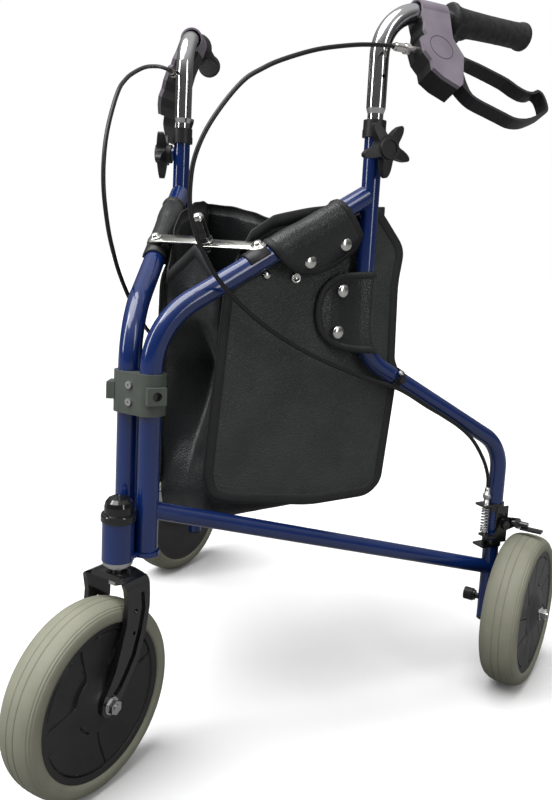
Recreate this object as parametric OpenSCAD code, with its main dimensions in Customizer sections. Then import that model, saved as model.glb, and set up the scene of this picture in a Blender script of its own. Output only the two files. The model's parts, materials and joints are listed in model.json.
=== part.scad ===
// Folding three-wheel rollator walker: two hinged side frames, one front caster, two braked rear wheels.
// Millimetres. Z up, floor at z = 0, travel direction is -Y, the user stands on the +Y side.
// Side-frame coordinates: u runs rearward in the frame plane from the front hinge axis,
// w points outward from the frame plane, z is height.

/* [Side frame] */
// Angle of each side frame from straight back, unfolded
frame_angle = 29.3; // [20:0.1:35]
// Half the distance between the two front hinge axes
hinge_half = 15; // [13.5:0.1:25]
// Front tube outer diameter
front_d = 24; // [20:0.5:28]
// Height where the front tube's vertical and diagonal runs would cross
front_knee_z = 482; // [440:1:520]
// Bend radius of the front tube
front_bend = 85; // [60:1:110]
// Rear tube outer diameter (handle post, lower diagonal and leg in one bent tube)
rear_d = 21; // [19:0.5:25]
// Distance of the handle post behind the hinge axis
post_u = 256; // [220:1:300]
// Height of the joint between the front tube's diagonal and the post
joint_z = 632; // [560:1:680]
// Height of the top of the post
post_top = 700; // [660:1:740]
// Distance of the rear leg behind the hinge axis
leg_u = 492; // [440:1:540]
// Height where the post and the lower diagonal would cross
low_knee_z = 446; // [400:1:500]
// Height where the lower diagonal and the leg would cross
leg_knee_z = 318; // [260:1:360]
// Bottom end of the leg
leg_bottom = 76; // [60:1:90]
// Tube wall thickness
wall = 1.5; // [1:0.1:2.5]
// Lower strut diameter
strut_d = 19; // [16:0.5:22]
// Strut height at the front tube
strut_front_z = 286; // [200:1:320]
// Strut height at the leg
strut_rear_z = 147; // [130:1:220]

/* [Wheels] */
// Wheel outside diameter
wheel_d = 200; // [150:1:250]
// Tyre width
tyre_w = 48; // [30:1:55]
// Hub disc diameter
disc_d = 166; // [120:1:180]
// Sideways distance of the rear wheel centres from the middle
wheel_x = 300; // [280:1:330]
// Distance of the front wheel axle ahead of the steering axis
trail = 38; // [20:1:60]

/* [Handles] */
// Handle tube diameter above the swaged end
handle_d = 22; // [20:0.5:25]
// Height of the grip axis, lowest setting
grip_z = 837; // [780:1:900]
// Bend radius of the handle tube
handle_bend = 55; // [40:1:70]
// Grip length
grip_len = 120; // [100:1:140]
// Grip diameter
grip_d = 31; // [30:0.5:42]
// Roll of the left lever housing and lever about the grip, outward from straight down
lever_roll_left = 28; // [17:1:35]
// Roll of the right lever housing and lever about the grip, outward from straight down
lever_roll_right = 19; // [17:1:35]

/* [Bag] */
// Height of the bag floor
bag_floor = 256; // [200:1:320]
// Height of the bag rim at its highest
bag_rim = 606; // [560:1:620]

/* [Hidden] */
$fn = 48;
hinge_y = -183.5;
swivel_y = hinge_y - 27;
axle_y = swivel_y - trail;
wheel_r = wheel_d / 2;
slot = 0.3;
fit = 0.05;
axle_r = 4;
front_r = front_d / 2;
rear_r = rear_d / 2;
strut_r = strut_d / 2;
hinge_bottom = 241.5;
rear_axle_back = 3;
rear_y = hinge_y + leg_u * cos(frame_angle) + rear_axle_back;
leg_x = hinge_half + leg_u * sin(frame_angle);
diag_slope = atan2(joint_z - front_knee_z, post_u);
low_slope = atan2(low_knee_z - leg_knee_z, leg_u - post_u);

// lever and housing, drawn hanging straight down and then rolled outward about the grip
pivot_u = 312;
pivot_z = grip_z - 56;
pin_r = 4;
arm_pivot_u = 498;
arm_pivot_z = 212;
arm_w = rear_r + 3;

// link
link_u = 116;
link_z = 571;
link_t = 3;
link_half = hinge_half + link_u * sin(frame_angle);
link_y = hinge_y + link_u * cos(frame_angle);

// finishes
blue = [0.08, 0.17, 0.52];
black = [0.09, 0.09, 0.10];
steel = [0.78, 0.79, 0.80];
chrome = [0.90, 0.90, 0.92];
tyre_grey = [0.60, 0.60, 0.55];
mauve = [0.42, 0.38, 0.44];
olive = [0.28, 0.31, 0.28];
cloth = [0.12, 0.13, 0.13];

// cable routes in side-frame coordinates [u, w, z]; only the first run differs from side to side
left_cable_head = [[255, 25.7, 789], [230, 27.5, 786], [200, 29.5, 780.5], [157, 32, 769], [115, 35, 752]];
right_cable_head = [[255, 17.8, 785.5], [230, 20.5, 783.5], [200, 24, 779], [157, 29, 768.5], [115, 34, 752]];
cable_tail = [
    [92, 36.5, 739.5], [74, 37.5, 727], [54, 38.5, 704], [35, 39, 675], [24, 38.5, 647],
    [21, 37.5, 621], [23, 35.5, 597], [32, 33.5, 571], [46, 31, 547], [60, 29, 529],
    [86, 26, 505], [121, 23, 480], [163, 20, 457], [212, 17, 436], [257, 15.5, 420],
    [306, 15, 405], [352, 14, 381], [395, 13, 359], [430, 11, 335], [456, 8, 305],
    [470, 5, 280], [474, 3, 262]
];
cable_r = 2.4;
cable_sides = 10;
cable_steps = 3;

// ---------- placement helpers ----------

// Local x = u, local y = inboard (minus w), local z = height.
module frame_place() {
    translate([hinge_half, hinge_y, 0]) rotate([0, 0, 90 - frame_angle]) children();
}

module mirrored() {
    mirror([1, 0, 0]) children();
}

// Points a child's +Z along +w (outward) at the given u and height.
module outward(u, z, w = 0) {
    translate([u, -w, z]) rotate([90, 0, 0]) children();
}

// Points a child's +Z along +X at the given place.
module along_x(p) {
    translate(p) rotate([0, 90, 0]) children();
}

// ---------- bent tubes, drawn in the local XZ plane ----------

function unit(v) = v / norm(v);
function turn(a, b, c) = acos(max(-1, min(1, unit(b - a) * unit(c - b))));
function setback(a, b, c, r) = r * tan(turn(a, b, c) / 2);

// Round bar from p to q, both [u, z].
module bar(p, q, r) {
    d = q - p;
    translate([p[0], 0, p[1]])
        rotate([0, 90 - atan2(d[1], d[0]), 0])
            cylinder(r = r, h = norm(d));
}

// Straight pipe from p to q.
module pipe(p, q, r, t) {
    d = q - p;
    translate([p[0], 0, p[1]])
        rotate([0, 90 - atan2(d[1], d[0]), 0])
            difference() {
                cylinder(r = r, h = norm(d));
                translate([0, 0, -1]) cylinder(r = r - t, h = norm(d) + 2);
            }
}

// Bend at b between the runs a-b and b-c. It laps over both runs by a hair so the pieces fuse.
module elbow(a, b, c, bend, r, t_wall) {
    t = setback(a, b, c, bend);
    d1 = unit(b - a);
    d2 = unit(c - b);
    side = (d1[0] * d2[1] - d1[1] * d2[0]) > 0 ? 1 : -1;
    n = side * [-d1[1], d1[0]];
    start = b - d1 * t;
    centre = start + n * bend;
    a0 = atan2(-n[1], -n[0]);
    lap = 1 / bend * 180 / PI;
    a1 = (side > 0 ? a0 : a0 - turn(a, b, c)) - lap;
    translate([centre[0], 0, centre[1]])
        rotate([90, 0, 0])
            rotate([0, 0, a1])
                rotate_extrude(angle = turn(a, b, c) + 2 * lap, $fn = 96)
                    translate([bend, 0]) difference() {
                        circle(r = r + 0.1, $fn = 48);
                        circle(r = r - t_wall - 0.1, $fn = 48);
                    }
}

// Tube through points, one bend radius per inner point.
module bent_tube(pts, bends, r, t) {
    n = len(pts);
    back = [for (i = [0 : n - 1])
        (i == 0 || i == n - 1) ? 0 : setback(pts[i - 1], pts[i], pts[i + 1], bends[i - 1])];
    for (i = [0 : n - 2]) {
        d = unit(pts[i + 1] - pts[i]);
        pipe(pts[i] + d * back[i], pts[i + 1] - d * back[i + 1], r, t);
    }
    for (i = [1 : n - 2])
        elbow(pts[i - 1], pts[i], pts[i + 1], bends[i - 1], r, t);
}

// ---------- swept round cable ----------

function catmull(p0, p1, p2, p3, t) =
    0.5 * ((2 * p1) + (p2 - p0) * t + (2 * p0 - 5 * p1 + 4 * p2 - p3) * t * t
        + (3 * p1 - p0 - 3 * p2 + p3) * t * t * t);
function smooth(p, k) = [
    for (i = [0 : len(p) - 2])
        for (j = [0 : k - 1])
            catmull(p[max(i - 1, 0)], p[i], p[i + 1], p[min(i + 2, len(p) - 1)], j / k),
    p[len(p) - 1]
];
function smooth_loop(p, k) = let (n = len(p)) [
    for (i = [0 : n - 1])
        for (j = [0 : k - 1])
            catmull(p[(i + n - 1) % n], p[i], p[(i + 1) % n], p[(i + 2) % n], j / k)
];
function tangent(p, i) = unit(p[min(i + 1, len(p) - 1)] - p[max(i - 1, 0)]);
function flat(p) = [for (q = p) [q[0], -q[1], q[2]]];

module swept(p, r, n) {
    m = len(p);
    pts = [
        for (i = [0 : m - 1])
            let (t = tangent(p, i), a = unit(cross(t, [0, 1, 0])), b = cross(t, a))
                for (k = [0 : n - 1])
                    p[i] + r * (cos(360 * k / n) * a + sin(360 * k / n) * b)
    ];
    sides = [
        for (i = [0 : m - 2])
            for (k = [0 : n - 1])
                [i * n + k, (i + 1) * n + k, (i + 1) * n + (k + 1) % n, i * n + (k + 1) % n]
    ];
    first = [for (k = [0 : n - 1]) k];
    last = [for (k = [0 : n - 1]) (m - 1) * n + n - 1 - k];
    polyhedron(points = pts, faces = concat([first], sides, [last]), convexity = 10);
}

// ---------- steering head ----------

head_r = 16.8;
head_low = 235;
head_high = 277;
pin_top = 290;
hinge_pin_r = front_r - wall - fit;

module head_tube() {
    color(blue) {
        difference() {
            union() {
                translate([0, swivel_y, head_low]) cylinder(r = head_r, h = head_high - head_low);
                translate([-1.5, swivel_y + 10, hinge_bottom - 5]) cube([3, 20, 37]);
                difference() {
                    translate([0, hinge_y, hinge_bottom - 5]) union() {
                        for (s = [-1, 1])
                            translate([s * hinge_half, 0, 0]) cylinder(r = front_r + 2, h = 4.7);
                        translate([-hinge_half, -20, 0]) cube([2 * hinge_half, 28, 4.7]);
                    }
                    translate([0, swivel_y, 200]) cylinder(r = head_r - 1, h = 60);
                }
            }
            translate([0, swivel_y, head_low - 1]) cylinder(r = 13, h = 60);
        }
        for (s = [-1, 1])
            translate([s * hinge_half, hinge_y, hinge_bottom - 0.3])
                cylinder(r = hinge_pin_r, h = pin_top - hinge_bottom);
    }
}

module head_cap() {
    color(black)
        translate([0, swivel_y, head_high])
            rotate_extrude()
                polygon([
                    [0, 0.2], [17.9, 0.2], [18.4, 0.8], [18.4, 7], [17.8, 8.2], [15.2, 8.8],
                    [15, 16.5], [13.8, 21], [10.9, 24.6], [7, 26.4], [3, 27], [0, 27]
                ]);
}

module head_bearing() {
    color(steel)
        difference() {
            union() {
                translate([0, swivel_y, head_low - 7]) cylinder(r = 12, h = 3);
                translate([0, swivel_y, head_low - 4]) cylinder(r = 15.6, h = 4);
                translate([0, swivel_y, head_low]) cylinder(r = 13, h = 41);
            }
            translate([0, swivel_y, 220]) cylinder(r = 6 + fit, h = 60);
        }
}

// ---------- hinge clamp ----------

clamp_z = 388;
clamp_h = 43.5;
clamp_out = front_r + 4;

module clamp_body() {
    difference() {
        union() {
            for (s = [-1, 1])
                translate([s * hinge_half, hinge_y, clamp_z]) cylinder(r = clamp_out, h = clamp_h);
            translate([-hinge_half, hinge_y - clamp_out, clamp_z])
                cube([2 * hinge_half, 2 * clamp_out, clamp_h]);
            for (s = [-1, 1])
                translate([s * hinge_half, hinge_y, clamp_z + 22])
                    rotate([0, 0, s > 0 ? -30 : 210])
                        translate([clamp_out - 3, -10, -9]) cube([9, 20, 18]);
        }
        for (s = [-1, 1]) {
            translate([s * hinge_half, hinge_y, clamp_z - 1])
                cylinder(r = front_r + 0.08, h = clamp_h + 2);
            translate([s * hinge_half, hinge_y, clamp_z + 22])
                rotate([0, 0, s > 0 ? -30 : 210])
                    translate([clamp_out - 1, 0, 0]) rotate([0, 90, 0]) cylinder(r = 5, h = 12);
        }
        for (z = [13, 31])
            translate([0, hinge_y - 30, clamp_z + z]) rotate([-90, 0, 0]) cylinder(r = 2.1, h = 60);
    }
}

module clamp_front() {
    color(olive)
        intersection() {
            clamp_body();
            translate([-80, hinge_y - 60, clamp_z - 5]) cube([160, 59.8, 60]);
        }
}

module clamp_rear() {
    color(olive)
        intersection() {
            clamp_body();
            translate([-80, hinge_y + 0.2, clamp_z - 5]) cube([160, 60, 60]);
        }
}

module clamp_screws() {
    color(steel)
        for (z = [13, 31])
            translate([0, hinge_y - clamp_out - 2, clamp_z + z]) rotate([-90, 0, 0])
                difference() {
                    union() {
                        cylinder(r = 4, h = 2);
                        cylinder(r = 2, h = 2 * clamp_out + 3);
                    }
                    translate([0, 0, -1]) cylinder(r = 1.4, h = 2, $fn = 6);
                }
}

// ---------- fork and front wheel ----------

fork_top = 225;
fork_in = 25.5;
fork_t = 6;
fork_out = fork_in + fork_t;

// Outline of one fork leg seen from the side, y from the steering axis.
module fork_leg_2d() {
    polygon([
        [-21.5, 222], [-18, 225], [12, 225], [15, 221], [16.7, 200], [16.5, 186], [11.3, 160.6],
        [2.4, 135.3], [-7.8, 120], [-17.8, 106.3], [-26, 97], [-29, 91], [-34, 87.6], [-40, 87],
        [-46, 89.6], [-49.6, 95], [-50, 102], [-47, 110], [-40.1, 119.4], [-32.2, 132.4],
        [-24.5, 154.6], [-17.5, 177.3], [-15.7, 199.5], [-18, 213]
    ]);
}

// Long channel pressed into the outer face of the leg, leaving a rib along both edges.
module fork_groove_2d() {
    polygon([
        [-12.5, 206], [7.5, 206], [9.8, 186], [4.8, 163], [-3.6, 139.5], [-13.5, 124.5], [-23, 112],
        [-30, 106.5], [-37, 112], [-28.5, 131], [-20.5, 154], [-13.6, 177], [-12, 199]
    ]);
}

// Crown and legs seen from the front: a low arch with rounded shoulders.
module fork_front_2d() {
    polygon([
        [-fork_out, 80], [fork_out, 80], [fork_out, 213], [fork_out - 1.2, 217.5], [fork_out - 4, 220.6],
        [fork_out - 9, 222.6], [12, 224.6], [0, 225], [-12, 224.6], [9 - fork_out, 222.6],
        [4 - fork_out, 220.6], [1.2 - fork_out, 217.5], [-fork_out, 213]
    ]);
}

module leg_plate(x, t) {
    translate([x, swivel_y, 0]) rotate([90, 0, 90]) linear_extrude(height = t) children();
}

module front_fork() {
    color(black)
        difference() {
            intersection() {
                union() {
                    leg_plate(fork_in, fork_t) fork_leg_2d();
                    leg_plate(-fork_out, fork_t) fork_leg_2d();
                    translate([-fork_in - 1, swivel_y - 16, fork_top - 7])
                        cube([2 * fork_in + 2, 30, 7]);
                }
                translate([0, swivel_y + 60, 0]) rotate([90, 0, 0])
                    linear_extrude(height = 160) fork_front_2d();
            }
            leg_plate(fork_out - 2.5, 5) fork_groove_2d();
            leg_plate(-fork_out - 2.5, 5) fork_groove_2d();
            along_x([-60, axle_y, wheel_r]) cylinder(r = axle_r, h = 120);
            translate([0, swivel_y, 200]) cylinder(r = 6, h = 40);
            for (p = [[-1.9, 186.2, 3], [-3.6, 163, 2]])
                along_x([-60, swivel_y + p[0], p[1]]) cylinder(r = p[2], h = 120);
        }
}

module fork_stem() {
    color(steel)
        union() {
            translate([0, swivel_y, fork_top - 10]) cylinder(r = 6, h = 58);
            translate([0, swivel_y, fork_top - 16]) cylinder(r = 9, h = 6, $fn = 6);
        }
}

module hex_nut(r, h) {
    cylinder(r = r, h = h, $fn = 6);
}

module front_axle() {
    color(chrome)
        union() {
            along_x([-fork_out - 9.5, axle_y, wheel_r]) cylinder(r = axle_r, h = 2 * fork_out + 19);
            for (s = [0, 1])
                mirror([s, 0, 0]) {
                    along_x([fork_out, axle_y, wheel_r]) cylinder(r = 9, h = 1.6);
                    along_x([fork_out + 1.6, axle_y, wheel_r]) hex_nut(7.5, 6.4);
                }
        }
}

// Wheel solids are drawn on the Z axis, outer face towards +Z.
module tyre_solid(w) {
    h = w / 2;
    rotate_extrude($fn = 120)
        polygon([
            [disc_d / 2 - 2, -h + 3], [disc_d / 2 + 4, -h], [wheel_r - 9, -h + 2],
            [wheel_r - 3, -h + 9], [wheel_r - 0.4, -h + 16], [wheel_r, -6], [wheel_r - 1.2, -5],
            [wheel_r, -4], [wheel_r, 4], [wheel_r - 1.2, 5], [wheel_r, 6], [wheel_r - 0.4, h - 16],
            [wheel_r - 3, h - 9], [wheel_r - 9, h - 2], [disc_d / 2 + 4, h], [disc_d / 2 - 2, h - 3]
        ]);
}

// Groove of width g between two points of the disc face given as [radius, angle].
module face_groove(a, b, g) {
    p = a[0] * [cos(a[1]), sin(a[1])];
    d = b[0] * [cos(b[1]), sin(b[1])] - p;
    translate([p[0], p[1], 0]) rotate([0, 0, atan2(d[1], d[0])])
        translate([-g / 2, -g / 2, 0]) cube([norm(d) + g, g, 3]);
}

// Five lobes: an arc near the rim, a run inwards, an arc round the boss and a run back out.
module disc_grooves() {
    rim = disc_d / 2 - 9.5;
    for (k = [0 : 4])
        rotate([0, 0, 72 * k]) {
            rotate_extrude(angle = 42) translate([rim - 0.7, 0]) square([1.5, 3]);
            rotate_extrude(angle = 20) translate([34.3, 0]) square([1.5, 3]);
            face_groove([rim, 42], [37, 49], 1.5);
            face_groove([35, 20], [rim, 0], 1.5);
        }
}

// Hub disc that reaches `reach` to each side; face is its profile from the boss to the rim.
module hub_solid(w, reach, face) {
    h = w / 2;
    difference() {
        rotate_extrude($fn = 96)
            polygon(concat(
                [
                    [axle_r + fit, -reach], [11, -reach], [14, -h + 4], [disc_d / 2 - 6, -h + 3.5],
                    [disc_d / 2 - 2, -h + 3], [disc_d / 2 - 2, h - 3], [disc_d / 2 - 5, h - 3.5]
                ],
                face,
                [[axle_r + fit, reach]]
            ));
        translate([0, 0, h - 5]) disc_grooves();
    }
}

front_face = [
    [disc_d / 2 - 8, 20], [70, 19], [36, 17.5], [28, 18.5], [17, 22.5], [13, 25.2]
];
rear_face = [
    [disc_d / 2 - 8, 21], [70, 20.5], [36, 20.5], [27, 22.5], [16, 27], [12, 28.5]
];

module front_tyre() {
    color(tyre_grey) along_x([0, axle_y, wheel_r]) tyre_solid(tyre_w);
}

module front_hub() {
    color(black) along_x([0, axle_y, wheel_r]) hub_solid(tyre_w, 25.2, front_face);
}

// ---------- side frame ----------

knob_z = 680;
diag_dir = [cos(diag_slope), sin(diag_slope)];
diag_end = [post_u, joint_z] - 7 * diag_dir;
front_path = [[0, hinge_bottom], [0, front_knee_z], diag_end];
rear_path = [[post_u, post_top], [post_u, low_knee_z], [leg_u, leg_knee_z], [leg_u, leg_bottom]];
strut_path = [[0, strut_front_z], [leg_u, strut_rear_z]];

module front_tube() {
    difference() {
        bent_tube(front_path, [front_bend], front_r, wall);
        translate([post_u, 0, joint_z - 60]) cylinder(r = rear_r, h = 120);
    }
}

module rear_tube() {
    difference() {
        union() {
            bent_tube(rear_path, [60, 55], rear_r, wall);
            outward(post_u, knob_z, rear_r - 1) cylinder(r = 9, h = 3);
        }
        outward(post_u, knob_z) cylinder(r = 4 + fit, h = 30);
    }
}

module lower_strut() {
    difference() {
        bar(strut_path[0], strut_path[1], strut_r);
        bar(strut_path[0], strut_path[1], strut_r - wall);
        bar([0, 200], [0, 360], front_r);
        bar([leg_u, 90], [leg_u, 220], rear_r);
    }
}

module post_collar() {
    difference() {
        union() {
            translate([post_u, 0, post_top]) cylinder(r = 13, h = 13);
            difference() {
                translate([post_u, 0, post_top - 6]) cylinder(r = 13.6, h = 8);
                translate([post_u, 0, post_top - 7]) cylinder(r = rear_r, h = 7);
            }
        }
        translate([post_u, 0, post_top - 10]) cylinder(r = rear_r - wall, h = 40);
    }
}

// Black plastic: plug closing the leg and cap on the inboard end of the axle.
module leg_caps() {
    union() {
        frame_place() {
            translate([leg_u, 0, leg_bottom - 3]) cylinder(r = rear_r, h = 3);
            translate([leg_u, 0, leg_bottom]) cylinder(r = rear_r - wall, h = 10);
        }
        difference() {
            along_x([leg_x - 31, rear_y, wheel_r]) cylinder(r = 8.5, h = 12);
            along_x([leg_x - 26, rear_y, wheel_r]) cylinder(r = axle_r, h = 12);
        }
    }
}

module rear_axle() {
    far = wheel_x + 33;
    union() {
        along_x([leg_x - 26, rear_y, wheel_r]) cylinder(r = axle_r, h = far + 7 - leg_x + 26);
        along_x([leg_x - 19, rear_y, wheel_r]) cylinder(r = 7, h = 3);
        along_x([wheel_x - 30.2, rear_y, wheel_r]) cylinder(r = 7, h = 1.5);
        along_x([wheel_x + 28.8, rear_y, wheel_r]) cylinder(r = 9, h = 1.6);
        along_x([wheel_x + 30.4, rear_y, wheel_r]) hex_nut(7.5, 7);
    }
}

module rear_tyre() {
    along_x([wheel_x, rear_y, wheel_r]) tyre_solid(tyre_w);
}

module rear_hub() {
    along_x([wheel_x, rear_y, wheel_r]) hub_solid(tyre_w, 28.5, rear_face);
}

clip_u = 310;
clip_z = low_knee_z - (clip_u - post_u) * tan(low_slope);

module cable_clip() {
    translate([clip_u, 0, clip_z]) rotate([0, 90 + low_slope, 0])
        union() {
            difference() {
                translate([0, 0, -5]) cylinder(r = rear_r + 1.4, h = 10);
                translate([0, 0, -6]) cylinder(r = rear_r, h = 12);
            }
            translate([-2, -rear_r - 7, -4]) cube([6, 6.5, 8]);
        }
}

// ---------- rear brake ----------

// Steel bracket: two clamp bands on the leg, a drilled flange on each and a side plate with the pin.
module brake_bracket() {
    difference() {
        union() {
            translate([leg_u, 0, 180]) cylinder(r = rear_r + 2, h = 9);
            translate([leg_u, 0, 230]) cylinder(r = rear_r + 2, h = 10);
            translate([leg_u - 26, -9, 236]) cube([22, 18, 3]);
            translate([leg_u - 24, -10, 180]) cube([20, 20, 3]);
            translate([leg_u - 6, -rear_r - 2, 186]) cube([20, 2, 50]);
            outward(arm_pivot_u, arm_pivot_z, rear_r + 1) cylinder(r = axle_r, h = 7);
            outward(arm_pivot_u, arm_pivot_z, arm_w + 3.4) cylinder(r = 6.5, h = 3, $fn = 6);
        }
        translate([leg_u, 0, 170]) cylinder(r = rear_r, h = 80);
        translate([leg_u - 18, -3, 225]) cylinder(r = 4, h = 20);
    }
}

// Bell crank: the cable lifts the front tab and the shoe bar behind goes down on the tyre.
module brake_arm() {
    frame_place()
        difference() {
            union() {
                translate([0, -arm_w, 0]) rotate([90, 0, 0]) linear_extrude(height = 3)
                    polygon([
                        [468, 196], [486, 196], [496, 202], [508, 205], [525, 208], [525, 217],
                        [504, 221], [492, 221], [486, 206], [482, 199], [468, 199]
                    ]);
                translate([468, -arm_w - 1, 196]) cube([12, 15, 3]);
            }
            outward(arm_pivot_u, arm_pivot_z, 0) cylinder(r = axle_r + fit, h = 30);
            translate([leg_u - 18, -3, 190]) cylinder(r = 2, h = 20);
        }
    along_x([276, rear_y + 8, 213]) cylinder(r = 4, h = 24);
    along_x([284, rear_y + 8, 213]) cylinder(r = 7.5, h = 5, $fn = 6);
    translate([291, rear_y + 2, 206.5]) cube([28, 12, 3]);
    translate([294, rear_y + 5, 209]) cube([6, 6, 5]);
}

module brake_spring() {
    translate([leg_u - 18, -3, 199.2]) difference() {
        cylinder(r = 5.5, h = 36.6);
        translate([0, 0, -1]) cylinder(r = 4.2, h = 40);
    }
}

// Turns what is drawn hanging from the grip outward about the grip's axis.
module hang(roll) {
    translate([0, 0, grip_z]) rotate([-roll, 0, 0]) translate([0, 0, -grip_z]) children();
}

// Barrel, knurled nut and cable ferrule on the front of the housing.
module cable_adjuster(roll) {
    hang(roll) translate([287, 0, grip_z - 54.5]) rotate([0, -90, 0])
        union() {
            cylinder(r = 4.4, h = 10);
            translate([0, 0, 10]) cylinder(r = 6.2, h = 6, $fn = 6);
            translate([0, 0, 16]) cylinder(r = 4.6, h = 12);
            translate([0, 0, 28]) cylinder(r = 3.4, h = 3);
        }
}

module brake_cable(head) {
    p = smooth(flat(concat(head, cable_tail)), cable_steps);
    union() {
        swept(p, cable_r, cable_sides);
        translate([leg_u - 18, -3, 239]) cylinder(r = 4, h = 9);
        translate([leg_u - 18, -3, 248]) cylinder(r = 5.5, h = 15, $fn = 6);
        translate([leg_u - 18, -3, 199]) cylinder(r = 1, h = 60);
    }
}

// ---------- handle ----------

grip_start = post_u + handle_bend + 37;
handle_path = [[post_u, 728], [post_u, grip_z], [grip_start + grip_len - 2, grip_z]];

// The turned lower end laps a hair inside the bent tube's wall so the two fuse.
module handle_tube() {
    low_r = rear_r - wall - fit;
    top_r = handle_d / 2;
    hair = 0.1;
    difference() {
        union() {
            bent_tube(handle_path, [handle_bend], top_r, wall);
            translate([post_u, 0, 0]) rotate_extrude()
                polygon([
                    [low_r - wall, 560], [low_r, 560], [low_r, 720], [top_r - hair, 726],
                    [top_r - hair, 729], [top_r - wall + hair, 729], [top_r - wall + hair, 727],
                    [low_r - wall, 721]
                ]);
        }
        outward(post_u, 760) cylinder(r = 2, h = 20);
    }
}

// Grip with a flange, an end ring and a leaf-shaped palm rest that points inboard and down.
module grip() {
    r = grip_d / 2;
    translate([grip_start, 0, grip_z]) rotate([-30, 0, 0]) translate([0, 0, -2])
        linear_extrude(height = 4)
            polygon([[3, 13], [5, 20.5], [19, 27], [32, 31.5], [37, 30.5], [37, 25], [34, 13]]);
    translate([grip_start, 0, grip_z]) rotate([0, 90, 0])
        rotate_extrude()
            polygon([
                [handle_d / 2, 0], [19, 0], [20.2, 1.5], [20.2, 4.5], [18.6, 8], [r + 1.6, 14],
                [r + 0.6, 24], [r - 0.2, 50], [r - 0.4, 80], [r - 0.4, grip_len - 12],
                [r + 1.2, grip_len - 8], [r + 1.4, grip_len - 3], [r - 1, grip_len - 0.5],
                [12, grip_len], [0, grip_len], [0, grip_len - 2], [handle_d / 2, grip_len - 2]
            ]);
}

// Outline of the lever housing seen along the lever pin, hanging straight down.
module housing_2d() {
    translate([0, grip_z])
        polygon([
            [300, -4], [338, -4], [337.5, -12], [333, -40], [342, -62], [329, -101], [323, -106],
            [303, -96], [292, -86], [293, -75], [287, -64], [287, -46], [296.5, -41], [295, -33],
            [299, -22]
        ]);
}

// Room inside the housing for the lever's root and its swing.
module lever_void_2d() {
    translate([pivot_u, pivot_z]) circle(r = 11);
    translate([0, grip_z])
        polygon([
            [310, -44.5], [330, -42], [352, -36], [356, -110], [334, -116], [317, -92], [302, -61]
        ]);
}

wrap_r = 15;

module housing(roll) {
    hang(roll) {
        difference() {
            union() {
                translate([0, 15, 0]) rotate([90, 0, 0]) linear_extrude(height = 29) housing_2d();
                translate([300, 0, grip_z]) rotate([0, 90, 0]) cylinder(r = wrap_r, h = 38);
            }
            translate([312.5, 0, grip_z]) rotate([0, 90, 0]) cylinder(r = handle_d / 2, h = 60);
            translate([290, 0, grip_z]) rotate([0, 90, 0]) cylinder(r = handle_d / 2 + 1.8, h = 22.5);
            translate([0, 10, 0]) rotate([90, 0, 0]) linear_extrude(height = 20) lever_void_2d();
            outward(pivot_u, pivot_z, 13) difference() {
                cylinder(r = 15.6, h = 3);
                translate([0, 0, -1]) cylinder(r = 14.6, h = 5);
            }
        }
        outward(pivot_u, pivot_z, -12) cylinder(r = pin_r, h = 24);
    }
}

// Lever seen along its pin: a band bent into a long loop, with a solid root round the pin.
module lever_2d() {
    translate([0, grip_z])
        difference() {
            polygon(smooth_loop([
                [314, -47.5], [332, -51], [350, -58], [368, -62.5], [388, -69], [409, -76.5],
                [421, -84], [434, -89], [444, -88.5], [452, -84.5], [458, -86], [461.5, -92],
                [462, -104], [459, -113], [449, -120], [427, -130], [413, -133.5], [399, -133.5],
                [386, -129], [368, -122.5], [348, -115], [337, -105], [324, -86], [306, -62]
            ], 2));
            polygon(smooth_loop([
                [352, -62], [368, -66], [387, -72.3], [407, -79.6], [419, -87], [432.5, -92.3],
                [445, -91.8], [453, -88.2], [455.8, -89.2], [458.3, -93.5], [458.7, -103.4],
                [456.4, -110.6], [447.5, -117], [426, -126.8], [412.5, -130], [399.7, -130],
                [387.4, -125.8], [369.4, -119.3], [350.3, -112], [342, -103], [340, -80], [344, -66]
            ], 2));
        }
}

module brake_lever_solid(roll) {
    hang(roll)
        difference() {
            union() {
                translate([0, 8.5, 0]) rotate([90, 0, 0]) linear_extrude(height = 17) lever_2d();
                outward(pivot_u, pivot_z, -8.5) cylinder(r = 9, h = 17);
            }
            outward(pivot_u, pivot_z, -20) cylinder(r = pin_r + fit, h = 40);
        }
}

// Five-armed clamping knob: arms thinning outwards, a raised rim round the face and a threaded stud.
star = [
    for (a = [0 : 4 : 356])
        (13.6 + 18.4 * pow((1 + cos(5 * a)) / 2, 1.8)) * [cos(a), sin(a)]
];

module star_knob_solid() {
    outward(post_u, knob_z, 0)
        difference() {
            union() {
                translate([0, 0, 9.4]) cylinder(r = 4, h = 6);
                translate([0, 0, 13]) cylinder(r = 12, h = 10);
                intersection() {
                    rotate([0, 0, 270]) translate([0, 0, 19]) linear_extrude(height = 15) polygon(star);
                    rotate_extrude()
                        polygon([[0, 20], [15, 20], [34, 22.5], [34, 28.5], [14.5, 31.5], [0, 31.5]]);
                }
                translate([0, 0, 30]) cylinder(r1 = 12.8, r2 = 11.6, h = 4);
            }
            translate([0, 0, 32.5]) cylinder(r = 9, h = 5);
        }
}

// ---------- folding link ----------

// Saddle on the diagonal with a level seat for the link bar and its bolt; rise lifts the seat.
module link_bracket(rise) {
    seat = link_z + rise - slot;
    difference() {
        union() {
            bar(saddle(-13), saddle(13), front_r + 2.5);
            translate([link_u, 0, saddle(0)[1]]) cylinder(r = 10, h = seat - saddle(0)[1]);
        }
        bar(saddle(-40), saddle(40), front_r);
    }
    translate([link_u, 0, seat]) cylinder(r = axle_r, h = link_t + 2 * slot);
    translate([link_u, 0, seat + link_t + 2 * slot]) cylinder(r = 7, h = 5, $fn = 6);
}

function saddle(d) = [
    link_u + d * cos(diag_slope),
    front_knee_z + (link_u + d * cos(diag_slope)) * tan(diag_slope)
];

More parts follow.
